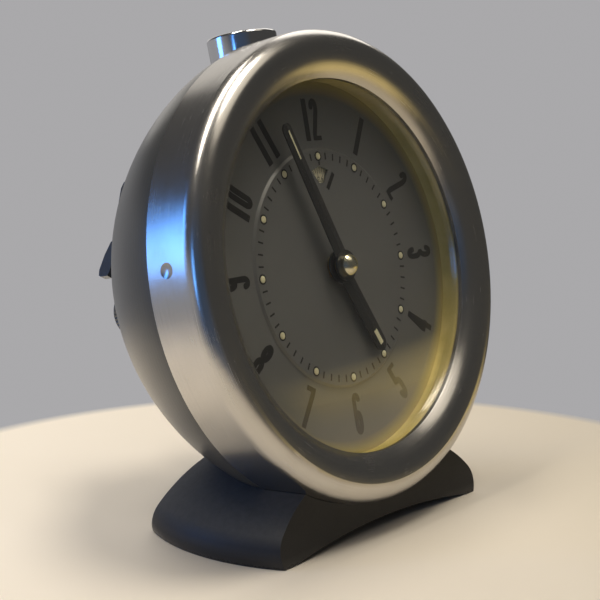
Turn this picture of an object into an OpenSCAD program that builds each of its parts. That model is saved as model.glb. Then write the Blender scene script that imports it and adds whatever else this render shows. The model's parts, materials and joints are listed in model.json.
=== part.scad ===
// Round wind-up table alarm clock on a low foot, in millimetres.
// Origin: centre of the foot on the table. +Z up, the dial faces -Y, +X is right seen from the front.
// Case frame: x right, y up the dial, h (local z) towards the viewer, zero on the dial's raised face.

/* [Case] */
// Backward lean of the case, degrees
lean = 12; // [8:0.5:16]
// Height of the bezel band's lowest edge over the table, measured along the lean
case_lift = 6.54; // [5.5:0.02:8]
// How far the dial centre lies in front of the foot's centre
dial_forward = 3.5; // [0:0.1:6]
// Outer radius of the bezel band
bezel_r = 56.8; // [56:0.1:58]
// Sheet thickness of the bezel
bezel_wall = 1; // [0.8:0.05:1.2]
// Distance of the bezel's rear edge behind the dial
seam_setback = 5.7; // [5:0.1:6.5]
// Radius of the rolled rim
rim_r = 4.5; // [4:0.1:5]
// Height of the rim's crest over the dial
rim_crest = 9.9; // [9.5:0.1:10.5]
// Width of the bezel seen from the front
bezel_width = 11.8; // [11:0.1:12.6]
// Height of the lip's front edge over the dial
lip_h = 6.5; // [6.2:0.1:7]
// Thickness of the lip
lip_t = 1; // [0.8:0.1:1.2]
// Radius of the ball that presses the two staking dimples
dimple_r = 5; // [4:0.1:6]
// Depth of the staking dimples
dimple_depth = 0.35; // [0.3:0.05:0.6]
// Turn of the staking dimples above the bezel's middle, degrees
dimple_turn = 5.4; // [0:0.1:10]
// Sheet thickness of the rear shell
shell_wall = 0.8; // [0.6:0.05:1]
// Step from the bezel band in to the rear shell
seam_step = 0.2; // [0.1:0.05:0.4]
// Depth of the rear shell behind the seam
bowl_depth = 42.4; // [41:0.1:44]
// Radius of the flat at the back of the shell
bowl_back_r = 17.6; // [17:0.1:19]
// Fullness of the shell's curve
bowl_bulge = 1.55; // [1.45:0.01:1.7]

/* [Foot] */
// Radius of the foot where it is widest
foot_r = 44; // [43:0.1:46]
// Height of the foot's widest place over the table
foot_lip_h = 2.5; // [1.5:0.1:3]
// Radius of the foot's rounded lip
foot_lip_r = 6.5; // [5:0.1:7]
// Radius of the foot's dome
foot_dome_r = 36; // [34:0.1:38]
// Height of the foot's dome
foot_h = 18.2; // [17.6:0.1:19]
// Place of the foot's front face, measured over the dial plane
foot_front_h = 3.4; // [2:0.1:5]
// Distance of the foot's rear face behind its centre
foot_rear = 22; // [20:0.1:26]
// Height of the hollow under the foot
foot_hollow = 3; // [2:0.1:3.4]
// Width of the rim that the foot stands on
foot_rim = 4.5; // [3:0.1:6]
// Half width of the arch in the foot's front wall
arch_half_w = 36; // [30:0.1:36]
// Half spacing of the two foot screws
foot_screw_x = 12; // [10:0.1:14]
// Place of the foot screws behind the foot's centre
foot_screw_y = 9; // [6:0.1:12]
// Radius of the foot screws
foot_screw_r = 1.5; // [1.2:0.1:2]
// Length of a foot screw's shank
foot_screw_l = 14; // [13.5:0.1:15]

/* [Glass and dial] */
// Wall of the crystal's skirt
skirt_t = 1.4; // [1:0.1:1.6]
// Thickness of the crystal
crystal_t = 1.2; // [1:0.1:1.4]
// Rise of the crystal's dome
crystal_rise = 5; // [4:0.1:6]
// Sheet thickness of the dial
dial_t = 0.6; // [0.4:0.05:0.7]
// Distance of the dial's edge inside the bezel band
dial_inset = 3.8; // [3.2:0.1:5]
// Width of the shell's flange that carries the dial
dial_seat = 3; // [2:0.1:4]
// Radius of the dial's raised middle
dial_raised_r = 29; // [28:0.1:30]
// Height of the dial's raised middle
dial_step = 0.5; // [0.3:0.05:0.6]
// Half angle of the alarm window
window_half = 36; // [30:1:40]
// Inner radius of the alarm window about the alarm axis
window_in = 1.6; // [1.5:0.1:2]
// Outer radius of the alarm window about the alarm axis
window_out = 5.4; // [5:0.1:5.8]
// Radius of the dial feet
dial_foot_r = 1.2; // [1:0.1:1.5]
// Radius of the circle that the dial feet stand on
dial_foot_place = 33; // [32:0.1:34]

/* [Hands] */
// Length of the minute hand
minute_len = 37.6; // [34:0.1:40]
// Place of the minute hand on the dial, degrees clockwise from twelve
minute_place = 337.7; // [0:0.1:360]
// Length of the hour hand
hour_len = 24.9; // [22:0.1:27]
// Place of the hour hand on the dial, degrees clockwise from twelve
hour_place = 152; // [0:0.1:360]
// Width of the minute hand at the hub
hand_w = 3.9; // [3.4:0.1:4.4]
// Width of the minute hand at the tip
hand_tip_w = 3.2; // [2.6:0.1:3.6]
// Width of the hour hand at the hub
hour_hand_w = 4.5; // [4:0.1:5]
// Width of the hour hand at the tip
hour_tip_w = 4.2; // [3.6:0.1:4.6]
// Thickness of the hands on their ridge
hand_t = 0.6; // [0.5:0.05:0.7]
// Thickness of a hand's slope one width out, as a share of its ridge
ridge_edge = 0.1; // [0:0.05:0.5]
// Radius of the nut that holds the hands
hand_nut_r = 2.6; // [2.3:0.1:3]
// Height of the nut's straight edge
nut_edge = 1.1; // [0.8:0.1:1.2]
// Rise of the nut's dome
nut_dome = 1.5; // [1.2:0.1:1.6]

/* [Plates] */
// Radius of the movement plates
plate_r = 38; // [37.5:0.1:39]
// Thickness of the movement plates
plate_t = 1.2; // [1:0.1:1.4]
// Depth of the front plate behind the dial
plate_setback = 7; // [6.9:0.05:7.3]
// Room between the rear plate and the back of the shell
rear_room = 14.9; // [14.5:0.1:15.5]
// Radius of the pillars
pillar_r = 2.2; // [1.8:0.1:2.4]
// Radius of the circle that the pillars stand on
pillar_place = 35; // [34.5:0.1:35.3]
// Radius of the pillar screws
pillar_screw_r = 1; // [0.8:0.1:1.2]
// Radius of the two posts between rear plate and shell
post_r = 3; // [2.6:0.1:3.2]
// Radius of the case screws
case_screw_r = 1.3; // [1:0.1:1.5]
// Height of the screw heads
head_t = 1.4; // [1:0.1:1.6]
// Radial play of a turning arbor in its hole
run_fit = 0.05; // [0.03:0.01:0.08]
// Gap between pieces that are pressed together
seat_fit = 0.02; // [0.01:0.01:0.04]
// Gap between pieces that move past each other
air = 0.4; // [0.3:0.05:0.5]

/* [Wheels] */
// Tooth module of the great wheel and centre pinion
great_m = 0.65; // [0.64:0.01:0.66]
// Teeth of the time great wheel
great_z = 60; // [59:1:61]
// Leaves of the centre pinion
centre_pinion_z = 12; // [11:1:13]
// Tooth module of the centre wheel and third pinion
centre_m = 0.5; // [0.49:0.01:0.51]
// Teeth of the centre wheel
centre_z = 60; // [59:1:61]
// Leaves of the train's pinions
pinion_z = 8; // [8:1:9]
// Tooth module of the third wheel and fourth pinion
third_m = 0.45; // [0.44:0.01:0.46]
// Teeth of the third wheel
third_z = 60; // [59:1:61]
// Tooth module of the fourth wheel and escape pinion
fourth_m = 0.4; // [0.39:0.01:0.41]
// Teeth of the fourth wheel
fourth_z = 48; // [47:1:49]
// Teeth of the escape wheel
escape_z = 15; // [14:1:16]
// Tip radius of the escape wheel
escape_r = 6; // [5.5:0.1:6.2]
// Tooth module of the cannon pinion and minute wheel
motion_m = 0.5; // [0.49:0.01:0.51]
// Leaves of the cannon pinion
cannon_z = 12; // [12:1:12]
// Teeth of the minute wheel
minute_z = 36; // [36:1:36]
// Leaves of the hand-setting pinion
set_pinion_z = 12; // [12:1:12]
// Leaves of the minute pinion
minute_pinion_z = 10; // [10:1:10]
// Teeth of the hour wheel and of the alarm wheel
hour_z = 40; // [40:1:40]
// Tooth module of the alarm great wheel
alarm_m = 0.5; // [0.49:0.01:0.51]
// Teeth of the alarm great wheel
alarm_z = 48; // [46:1:49]
// Leaves of the alarm pinion
alarm_pinion_z = 10; // [9:1:11]
// Teeth of the alarm striking wheel
strike_z = 12; // [11:1:13]
// Tip radius of the alarm striking wheel
strike_r = 5; // [4.5:0.1:5.2]
// Tip radius of the winding ratchets
ratchet_r = 5; // [4.5:0.1:5.2]
// Thickness of the train wheels
wheel_t = 1; // [0.8:0.1:1.2]
// Radius of the centre arbor
centre_arbor_r = 1.2; // [1.1:0.05:1.3]
// Radius of the train arbors
arbor_r = 0.8; // [0.7:0.05:0.9]
// Radius of the setting arbors
set_arbor_r = 1.5; // [1.3:0.05:1.6]
// Radius of the stud that carries the minute wheel
stud_r = 1.2; // [1.1:0.05:1.3]
// Radius of the winding arbors
wind_arbor_r = 2; // [1.8:0.05:2.2]

/* [Springs and balance] */
// Outer radius of the time mainspring
time_spring_r = 13.5; // [12:0.1:14]
// Outer radius of the alarm mainspring
alarm_spring_r = 11; // [10:0.1:11.5]
// Turns of a mainspring
spring_turns = 6; // [5:1:7]
// Thickness of a mainspring's strip
strip_t = 0.5; // [0.4:0.05:0.6]
// Room between a mainspring and its great wheel
spring_room = 1.2; // [1:0.1:1.6]
// Radius of the balance
balance_r = 8.4; // [7.5:0.1:8.5]
// Radial width of the balance rim
balance_rim = 1.4; // [1.2:0.1:1.6]
// Outer radius of the hairspring
hairspring_r = 5; // [4.5:0.1:5.4]

/* [Alarm] */
// Radius of the bell
bell_r = 14; // [13:0.1:14.2]
// Height of the bell
bell_h = 4; // [3.6:0.1:4.2]
// Sheet thickness of the bell
bell_t = 0.9; // [0.7:0.05:1.1]
// Radius of the hammer's head
hammer_r = 2; // [1.8:0.1:2.2]
// Gap between hammer and bell at rest
hammer_gap = 0.9; // [0.8:0.05:1.2]
// Radius of the alarm disc
alarm_disc_r = 6.3; // [6:0.1:6.6]

/* [Controls] */
// Radius of the shut-off button at its top
button_r = 8.8; // [8.4:0.1:9]
// Radius of the shut-off button at its foot
button_foot_r = 8.3; // [8:0.1:8.4]
// Height of the button's top over the dial centre
button_top = 60.5; // [60:0.1:62]
// Length of the button
button_l = 14; // [13:0.1:15]
// Depth of the button's axis behind the dial
button_setback = 17.4; // [17:0.1:18]
// Travel of the button
button_travel = 3; // [2:0.1:3.5]
// Radius of the button's stem
stem_r = 2; // [1.8:0.1:2.2]
// Half span of a winding key
key_span = 14; // [13:0.1:14.4]
// Thickness of a winding key's wing
key_t = 1.6; // [1.4:0.1:2]
// Distance of the keys' rear ends behind the shell
key_reach = 10.8; // [10.6:0.1:12]
// Place of the winding keys' wings at rest, degrees clockwise from upright seen from the front
key_turn = 31; // [25:1:40]
// Gap between the shell and the knobs
knob_stand = 0.9; // [0.6:0.1:1.2]
// Radius of the hand-setting knob
set_knob_r = 6.4; // [6:0.1:6.6]
// Radius of the alarm-setting knob
alarm_knob_r = 5.4; // [5:0.1:5.6]
// Length of the hand-setting knob
knob_l = 6; // [5:0.1:7]
// Length of the alarm-setting knob
alarm_knob_l = 4.4; // [4:0.1:4.6]
// Ridges round a knob
knob_ridges = 42; // [36:1:48]
// Depth of the ridges
ridge_depth = 0.35; // [0.2:0.05:0.4]

/* [Hidden] */
$fn = 64;

// Helpers for places and teeth
function polar(r, a) = [r * cos(a), r * sin(a)];
function mesh_d(m, za, zb) = m * (za + zb) / 2;
function mesh_phase(dir, za, phase_a, zb) = dir + 180 - 180 / zb + (dir - phase_a) * za / zb;
function dial_angle(place) = 90 - place;

// Depths of the plates, as heights over the dial
shell_back = -seam_setback - bowl_depth;
front_face = -plate_setback;
front_back = front_face - plate_t;
rear_back = shell_back + rear_room;
rear_face = rear_back + plate_t;
plate_gap = front_back - rear_face;

// Small sizes and fits that several pieces share
end_play = 0.1;
side_play = 0.3;
past = 1;
leaf_front = 0.6;
leaf_back = 0.8;
great_leaf = 1.2;
lever_w = 1.2;
boss_r = 1.6;
thread_l = 4.5;
case_thread_l = 7;
collar = 0.6;
collar_l = 2;
great_t = 1.6;

// Places of the arbors, from the tooth counts
minute_dir = 235;
set_dir = 148;
great_dir = 23;
third_dir = -75;
fourth_dir = 180;
escape_dir = 250;
hour_m = mesh_d(motion_m, cannon_z, minute_z) * 2 / (minute_pinion_z + hour_z);
alarm_axis_y = mesh_d(hour_m, hour_z, hour_z);
centre_at = [0, 0];
minute_at = polar(mesh_d(motion_m, cannon_z, minute_z), minute_dir);
set_at = minute_at + polar(mesh_d(motion_m, minute_z, set_pinion_z), set_dir);
alarm_set_at = [0, alarm_axis_y];
time_at = polar(mesh_d(great_m, great_z, centre_pinion_z), great_dir);
third_at = polar(mesh_d(centre_m, centre_z, pinion_z), third_dir);
fourth_at = third_at + polar(mesh_d(third_m, third_z, pinion_z), fourth_dir);
escape_at = fourth_at + polar(mesh_d(fourth_m, fourth_z, pinion_z), escape_dir);
pallet_dir = -18;
pallet_reach = 2.6;
pallet_span = 36;
pallet_pin_r = 0.4;
balance_dir = -22;
balance_reach = 10.2;
pallet_at = escape_at + polar(escape_r + pallet_reach, pallet_dir);
balance_at = pallet_at + polar(balance_reach, balance_dir);
alarm_at = [-15, 18.5];
strike_dir = 230;
strike_at = alarm_at + polar(mesh_d(alarm_m, alarm_z, alarm_pinion_z), strike_dir);
verge_dir = 262;
verge_reach = 2.8;
verge_span = 42;
verge_pin_r = 0.55;
verge_drop = 1.8;
verge_at = strike_at + polar(strike_r + verge_reach, verge_dir);
bell_at = [1, -20];
pillar_dirs = [62, 172, 222, 320];
dial_foot_dirs = [125, 210, 335];
post_at = [[12, 2], [-6, 10.4]];

// Tooth phases that put each pair in mesh at rest
minute_phase = mesh_phase(minute_dir, cannon_z, 0, minute_z);
set_pinion_phase = mesh_phase(set_dir, minute_z, minute_phase, set_pinion_z);
minute_pinion_phase = 0;
hour_phase = mesh_phase(minute_dir + 180, minute_pinion_z, minute_pinion_phase, hour_z);
alarm_wheel_phase = mesh_phase(90, hour_z, hour_phase, hour_z);
great_phase = mesh_phase(great_dir, centre_pinion_z, 0, great_z);
third_pinion_phase = mesh_phase(third_dir, centre_z, 0, pinion_z);
fourth_pinion_phase = mesh_phase(fourth_dir, third_z, 0, pinion_z);
escape_pinion_phase = mesh_phase(escape_dir, fourth_z, 0, pinion_z);
strike_pinion_phase = mesh_phase(strike_dir, alarm_z, 0, alarm_pinion_z);

// Layers of the train, as heights of each wheel's rear face
minute_rise = 0.8;
hour_rise = 3.1;
minute_layer = front_face + minute_rise;
hour_layer = front_face + hour_rise;
function layer(share) = front_back - share * plate_gap;
centre_layer = layer(0.118);
third_layer = layer(0.252);
fourth_layer = layer(0.378);
great_layer = layer(0.546);
escape_layer = layer(0.555);
alarm_layer = great_layer;
strike_rise = 3.4;
strike_layer = alarm_layer + great_t + strike_rise;
balance_layer = layer(0.723);
hairspring_layer = layer(0.815);
spring_rise = 1.6;
spring_layer = rear_face + spring_rise;
strip_w = great_layer - spring_layer - spring_room;

// Bezel and shell
dial_height = case_lift + bezel_r * cos(lean);
lip_r = bezel_r - bezel_width;
dial_r = bezel_r - dial_inset;
tube_r = bezel_r - rim_r;
tube_h = rim_crest - rim_r;
lip_drop = rim_crest - lip_h;
slope_r = (pow(tube_r - lip_r, 2) + lip_drop * lip_drop) / (2 * lip_drop);
ledge_h = lip_h - lip_t;
skirt_step = 1.8;
skirt_r = lip_r + skirt_step;
shell_r = bezel_r - seam_step;
tongue_r = bezel_r - bezel_wall - run_fit;
tongue_root = 1.2;
flange_h = -dial_step - dial_t;
flange_r = dial_r - dial_seat;
bowl_steps = 44;
foot_lip_place = foot_r - foot_lip_r;
foot_lip_reach = foot_dome_r - foot_lip_r;
foot_join = asin((foot_lip_h + foot_dome_r - foot_h) / foot_lip_reach);
foot_dome_place = foot_lip_place - foot_lip_reach * cos(foot_join);
foot_join_h = foot_lip_h + foot_lip_r * sin(foot_join);
foot_front = -dial_forward - (dial_height * sin(lean) + foot_front_h) / cos(lean);

// Hands and motion work
cannon_wall = 0.7;
hour_wall = 0.8;
cannon_pipe_r = centre_arbor_r + cannon_wall;
hour_pipe_r = cannon_pipe_r + hour_wall;
hour_hand_h = 1.4;
minute_hand_h = 2.9;
hub_wall = 1;
hub_r = hour_pipe_r + hub_wall;

// Controls
knob_face = shell_back - knob_stand;
knob_grip = 2.4;
knob_edge = 0.6;
key_end = shell_back - key_reach;
key_back = 4.5;
key_cap = 3.5;
key_wall = 1;
key_hub_end = key_end + key_back;
wind_arbor_end = key_hub_end + key_cap;
key_hub_r = wind_arbor_r + key_wall;
shell_hole_r = key_hub_r + air;
set_hole_r = set_arbor_r + air;
button_foot = button_top - button_l;
bridge_y = plate_r + air;
bridge_t = 1.6;
bridge_w = 12;
bridge_foot = 6;
stem_below = button_travel + past;
dish_depth = 0.5;
dish_edge = 1;
regulator_t = 0.8;
regulator_lift = 0.2;
regulator_reach = 6;
regulator_finger = 6;
finger_w = 1.2;
regulator_swing = 20;
regulator_room = 12;
balance_boss_r = 2.4;
balance_t = 1.4;
hair_w = 0.6;
hair_t = 0.15;
hair_stud_r = 0.9;

// Bell and alarm disc
bell_stand = 1.4;
bell_top = rear_back - bell_stand - bell_h;
bell_flare = 3;
bell_slope = 2;
bell_post_r = 2.4;
bell_screw_r = 1.4;
disc_gap = 0.3;
disc_t = 0.5;
disc_face = -dial_t - disc_gap;

// Strap inside the shell that the foot screws pull against
strap_t = 1.4;
strap_front = 9.5;
strap_back = 22;
strap_side = 4;

// Frames
module in_case() {
  translate([0, -dial_forward, dial_height]) rotate([90 - lean, 0, 0]) children();
}

module at(p, h = 0) {
  translate([p[0], p[1], h]) children();
}

module rod(r, from_h, to_h) {
  translate([0, 0, min(from_h, to_h)]) cylinder(r = r, h = abs(to_h - from_h));
}

module tube(r_out, r_in, from_h, to_h) {
  difference() {
    rod(r_out, from_h, to_h);
    rod(r_in, from_h - 1, to_h + 1);
  }
}

// Teeth: straight flanks, a little thinner than their gaps
function tooth(i, z, m) =
  let (p = 360 / z, a = i * p, root = m * (z / 2 - 1.15), tip = m * (z / 2 + 0.8))
  [polar(root, a - 0.28 * p), polar(tip, a - 0.09 * p), polar(tip, a + 0.09 * p), polar(root, a + 0.28 * p)];

module gear_2d(z, m) {
  polygon([for (i = [0:z - 1]) each tooth(i, z, m)]);
}

module pinion(z, m, phase, from_h, to_h) {
  translate([0, 0, min(from_h, to_h)]) linear_extrude(abs(to_h - from_h)) rotate(phase) gear_2d(z, m);
}

module wheel(z, m, phase, t, hub, windows = 5) {
  root = m * (z / 2 - 1.15);
  window_r = (root - hub) * 0.34;
  linear_extrude(t) difference() {
    rotate(phase) gear_2d(z, m);
    for (i = [0:windows - 1]) translate(polar((root + hub) / 2, i * 360 / windows)) circle(window_r);
  }
}

// Saw-toothed wheel for the escapement and the alarm
function saw(i, z, r, depth) =
  let (p = 360 / z, a = i * p)
  [polar(r - depth, a), polar(r, a + 0.18 * p), polar(r, a + 0.3 * p)];

module saw_wheel(z, r, depth, t) {
  linear_extrude(t) polygon([for (i = [0:z - 1]) each saw(i, z, r, depth)]);
}

// Flat spiral strip between two radii
function spiral(r_in, r_out, turns, n) =
  [for (i = [0:n]) polar(r_in + (r_out - r_in) * i / n, 360 * turns * i / n)];

module spiral_strip(r_in, r_out, turns, t, w) {
  n = turns * 20;
  outer = spiral(r_in + t, r_out, turns, n);
  inner = spiral(r_in, r_out - t, turns, n);
  linear_extrude(w) polygon(concat(outer, [for (i = [n:-1:0]) inner[i]]));
}

// Shell profile from the seam to the flat back
function bowl(r0, depth, grow) =
  [for (i = [0:bowl_steps]) let (a = 90 * i / bowl_steps)
    [bowl_back_r + (r0 - bowl_back_r) * pow(cos(a), 2 / bowl_bulge) + grow,
     -seam_setback - depth * pow(sin(a), 2 / bowl_bulge) - grow]];

module bowl_solid(r0, depth, grow, front) {
  rotate_extrude() polygon(concat([[0, front], [r0 + grow, front]], bowl(r0, depth, grow),
    [[0, -seam_setback - depth - grow]]));
}

// Outside of bezel band and shell together, grown all round
module case_envelope(grow) {
  rotate_extrude($fn = 128) polygon(concat([[0, rim_crest], [bezel_r + grow, rim_crest],
    [bezel_r + grow, -seam_setback - grow]], bowl(shell_r, bowl_depth, grow), [[0, shell_back - grow]]));
}

// Case pieces
module rim_profile(wall) {
  intersection() {
    translate([tube_r, tube_h]) circle(rim_r - wall);
    translate([tube_r, tube_h]) square(rim_r);
  }
  intersection() {
    translate([tube_r, rim_crest - slope_r]) circle(slope_r - wall);
    translate([lip_r, ledge_h - 3]) square([tube_r - lip_r, rim_r + lip_drop + 3]);
  }
  translate([lip_r, -seam_setback]) square([bezel_r - wall - lip_r, seam_setback + tube_h]);
}

module bezel() {
  color("silver") in_case() difference() {
    rotate_extrude($fn = 128) difference() {
      rim_profile(0);
      difference() {
        rim_profile(bezel_wall);
        translate([lip_r - 1, ledge_h]) square([skirt_r - lip_r + 1.6, rim_crest]);
      }
      translate([lip_r - 1, -seam_setback - 1]) square([bezel_r - bezel_wall - lip_r + 1, seam_setback + 1]);
      translate([lip_r - 1, -1]) square([skirt_r - lip_r + 1, ledge_h + 1]);
    }
    for (a = [dimple_turn, 180 - dimple_turn]) rotate(a)
      translate([bezel_r + dimple_r - dimple_depth, 0, 0]) sphere(dimple_r);
  }
}

module crystal() {
  dome_r = (lip_r * lip_r + crystal_rise * crystal_rise) / (2 * crystal_rise);
  color("lightyellow", 0.4) in_case() rotate_extrude($fn = 128) {
    intersection() {
      difference() {
        translate([0, ledge_h + crystal_rise - dome_r]) circle(dome_r, $fn = 360);
        translate([0, ledge_h + crystal_rise - dome_r]) circle(dome_r - crystal_t, $fn = 360);
      }
      translate([0, ledge_h - crystal_t]) square([lip_r, crystal_rise + crystal_t + 1]);
    }
    translate([skirt_r - skirt_t, -dial_step]) square([skirt_t, ledge_h + dial_step]);
    translate([lip_r - 1, ledge_h - crystal_t]) square([skirt_r - lip_r + 1, crystal_t]);
  }
}

module dial() {
  color("dimgray") in_case() {
    difference() {
      rotate_extrude($fn = 128) polygon([[0, 0], [dial_raised_r - 0.4, 0], [dial_raised_r + 0.2, -dial_step],
        [dial_r, -dial_step], [dial_r, flange_h], [dial_raised_r, flange_h], [dial_raised_r - 0.6, -dial_t],
        [0, -dial_t]]);
      rod(hour_pipe_r + air, -dial_t - 1, 1);
      at(alarm_set_at, -dial_t - 1) linear_extrude(dial_t + 2) polygon(concat(
        [for (a = [-1, 0, 1]) polar(window_out, 90 + a * window_half)],
        [for (a = [1, -1]) polar(window_in, 90 + a * window_half)]));
    }
    for (a = dial_foot_dirs) at(polar(dial_foot_place, a)) rod(dial_foot_r, flange_h, front_back);
  }
}

module rear_shell() {
  color("darkslategray") in_case() difference() {
    union() {
      difference() {
        bowl_solid(shell_r, bowl_depth, 0, -seam_setback);
        bowl_solid(shell_r - shell_wall, bowl_depth - shell_wall, 0, -seam_setback + 1);
      }
      tube(tongue_r, tongue_r - shell_wall, -seam_setback - tongue_root, flange_h);
      tube(shell_r - shell_wall / 2, tongue_r - shell_wall, -seam_setback - tongue_root, -seam_setback);
      tube(tongue_r, flange_r, flange_h - shell_wall, flange_h);
    }
    for (p = [time_at, alarm_at]) at(p) rod(shell_hole_r, rear_back, shell_back - 1);
    for (p = [set_at, alarm_set_at]) at(p) rod(set_hole_r, rear_back, shell_back - 1);
    for (p = post_at) at(p) rod(case_screw_r + seat_fit, rear_back, shell_back - 1);
    translate([0, 0, -button_setback]) rotate([-90, 0, 0]) cylinder(r = button_r + air, h = button_top);
    at(balance_at) rotate(-90 - regulator_swing - regulator_room)
      rotate_extrude(angle = 2 * (regulator_swing + regulator_room))
      translate([regulator_reach - finger_w / 2 - air, shell_back]) square([finger_w + 2 * air, rear_room]);
    rotate([lean - 90, 0, 0]) translate([0, dial_forward, -dial_height]) foot_screw_holes();
  }
}

// Foot and its fixing, in the table frame
module at_foot_screws(h) {
  for (x = [-1, 1]) translate([x * foot_screw_x, foot_screw_y, h]) children();
}

module foot_screw_holes() {
  at_foot_screws(0) rod(foot_screw_r + seat_fit, 0, dial_height);
}

// Round dome that runs into a rounded lip
module foot_dome() {
  rotate_extrude($fn = 128) {
    intersection() {
      translate([foot_dome_place, foot_h - foot_dome_r]) circle(foot_dome_r);
      translate([foot_dome_place, foot_join_h]) square([foot_lip_place, foot_h]);
    }
    intersection() {
      translate([foot_lip_place, foot_lip_h]) circle(foot_lip_r);
      translate([foot_lip_place, 0]) square([foot_lip_r, foot_join_h]);
    }
    square([foot_lip_place, foot_join_h]);
    square([foot_dome_place, foot_h]);
  }
}

module foot_walls() {
  reach = 2 * foot_r;
  difference() {
    foot_dome();
    in_case() translate([-reach, -reach, foot_front_h]) cube(2 * reach);
    translate([0, foot_rear, 0]) rotate([lean, 0, 0]) translate([-reach, 0, -reach]) cube(2 * reach);
  }
}

module foot() {
  arch_r = (arch_half_w * arch_half_w + foot_hollow * foot_hollow) / (2 * foot_hollow);
  hollow_front = foot_front + foot_rim;
  hollow_l = foot_rear - foot_rim - hollow_front;
  color("#2b2c2e") difference() {
    foot_walls();
    in_case() case_envelope(run_fit);
    intersection() {
      translate([0, 0, -1]) cylinder(r = foot_r - foot_rim, h = foot_hollow + 1, $fn = 128);
      translate([-foot_r, hollow_front, -2]) cube([2 * foot_r, hollow_l, foot_hollow + 3]);
    }
    translate([0, hollow_front + 1, foot_hollow - arch_r]) rotate([90, 0, 0])
      cylinder(r = arch_r, h = foot_r, $fn = 360);
    foot_screw_holes();
  }
}

module foot_strap() {
  color("gray") difference() {
    in_case() difference() {
      bowl_solid(shell_r - shell_wall - seat_fit, bowl_depth - shell_wall - seat_fit, 0, -seam_setback);
      bowl_solid(shell_r - shell_wall - strap_t, bowl_depth - shell_wall - strap_t, 0, -seam_setback + past);
      translate([-bezel_r, -bezel_r, -strap_front]) cube(2 * bezel_r);
      translate([-bezel_r, -bezel_r, -strap_back - bezel_r]) cube([2 * bezel_r, 2 * bezel_r, bezel_r]);
      translate([-bezel_r, -bezel_r / 2, -bezel_r]) cube(2 * bezel_r);
      for (side = [0, 1]) mirror([side, 0, 0])
        translate([foot_screw_x + strap_side, -2 * bezel_r, -bezel_r]) cube(2 * bezel_r);
    }
    foot_screw_holes();
  }
}

module screw_head(r, t) {
  difference() {
    cylinder(r = r, h = t);
    translate([-r, -r * 0.14, t * 0.55]) cube([2 * r, r * 0.28, t]);
  }
}

module foot_screws() {
  color("slategray") at_foot_screws(foot_hollow) {
    rod(foot_screw_r, 0, foot_screw_l);
    mirror([0, 0, 1]) screw_head(foot_screw_r * 1.8, head_t);
  }
}

// Plates, pillars and posts
module front_plate() {
  color("goldenrod") in_case() difference() {
    union() {
      rod(plate_r, front_face, front_back);
      at(minute_at) rod(stud_r, front_face, hour_layer + wheel_t + leaf_front);
    }
    at(centre_at) rod(centre_arbor_r + run_fit, front_face + past, front_back - past);
    for (p = [third_at, fourth_at, escape_at, pallet_at, balance_at, strike_at, verge_at])
      at(p) rod(arbor_r + run_fit, front_face + past, front_back - past);
    for (p = [set_at, alarm_set_at]) at(p) rod(set_arbor_r + run_fit, front_face + past, front_back - past);
    for (p = [time_at, alarm_at]) at(p) rod(wind_arbor_r + run_fit, front_face + past, front_back - past);
    for (a = pillar_dirs) at(polar(pillar_place, a))
      rod(pillar_screw_r + seat_fit, front_face + past, front_back - past);
    for (a = dial_foot_dirs) at(polar(dial_foot_place, a))
      rod(dial_foot_r + seat_fit, front_face + past, front_back - past);
  }
}

module rear_plate() {
  color("goldenrod") in_case() difference() {
    union() {
      rod(plate_r, rear_face, rear_back);
      at(balance_at) rod(balance_boss_r, rear_back, rear_back - regulator_t - 2 * regulator_lift);
      at(balance_at + polar(hairspring_r + end_play + hair_stud_r, 0))
        rod(hair_stud_r, rear_face, hairspring_layer + hair_w + regulator_lift);
    }
    at(centre_at) rod(centre_arbor_r + run_fit, rear_face + past, rear_back - past);
    for (p = [third_at, fourth_at, escape_at, pallet_at, balance_at, strike_at, verge_at])
      at(p) rod(arbor_r + run_fit, rear_face + past, rear_back - regulator_t - past);
    for (p = [set_at, alarm_set_at]) at(p) rod(set_arbor_r + run_fit, rear_face + past, rear_back - past);
    for (p = [time_at, alarm_at]) at(p) rod(wind_arbor_r + run_fit, rear_face + past, rear_back - past);
    for (a = pillar_dirs) at(polar(pillar_place, a))
      rod(pillar_screw_r + seat_fit, rear_face + past, rear_back - past);
  }
}

module pillars() {
  color("lightsteelblue") in_case() for (a = pillar_dirs) at(polar(pillar_place, a)) difference() {
    union() {
      rod(pillar_r, front_back, rear_face);
      rod(pillar_r + collar, front_back, front_back - collar_l);
      rod(pillar_r + collar, rear_face, rear_face + collar_l);
    }
    rod(pillar_screw_r + seat_fit, front_back + past, front_back - thread_l - past);
    rod(pillar_screw_r + seat_fit, rear_face - past, rear_face + thread_l + past);
  }
}

module pillar_screws() {
  color("slategray") in_case() for (a = pillar_dirs) at(polar(pillar_place, a)) {
    rod(pillar_screw_r, front_face, front_back - thread_l);
    translate([0, 0, front_face]) screw_head(pillar_screw_r * 1.9, head_t);
    rod(pillar_screw_r, rear_back, rear_face + thread_l);
    translate([0, 0, rear_back]) mirror([0, 0, 1]) screw_head(pillar_screw_r * 1.9, head_t);
  }
}

module case_posts() {
  color("lightsteelblue") in_case() for (p = post_at) at(p) difference() {
    rod(post_r, rear_back, shell_back + shell_wall);
    rod(case_screw_r + seat_fit, shell_back, shell_back + case_thread_l + past);
  }
}

module case_screws() {
  color("slategray") in_case() for (p = post_at) at(p, shell_back) {
    rod(case_screw_r, 0, case_thread_l);
    mirror([0, 0, 1]) screw_head(case_screw_r * 2, head_t);
  }
}

// Springs
module time_mainspring() {
  color("steelblue") in_case() at(time_at, spring_layer)
    spiral_strip(2 * wind_arbor_r, time_spring_r, spring_turns, strip_t, strip_w);
}

module alarm_mainspring() {
  color("steelblue") in_case() at(alarm_at, spring_layer)
    spiral_strip(2 * wind_arbor_r, alarm_spring_r, spring_turns, strip_t, strip_w);
}

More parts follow.
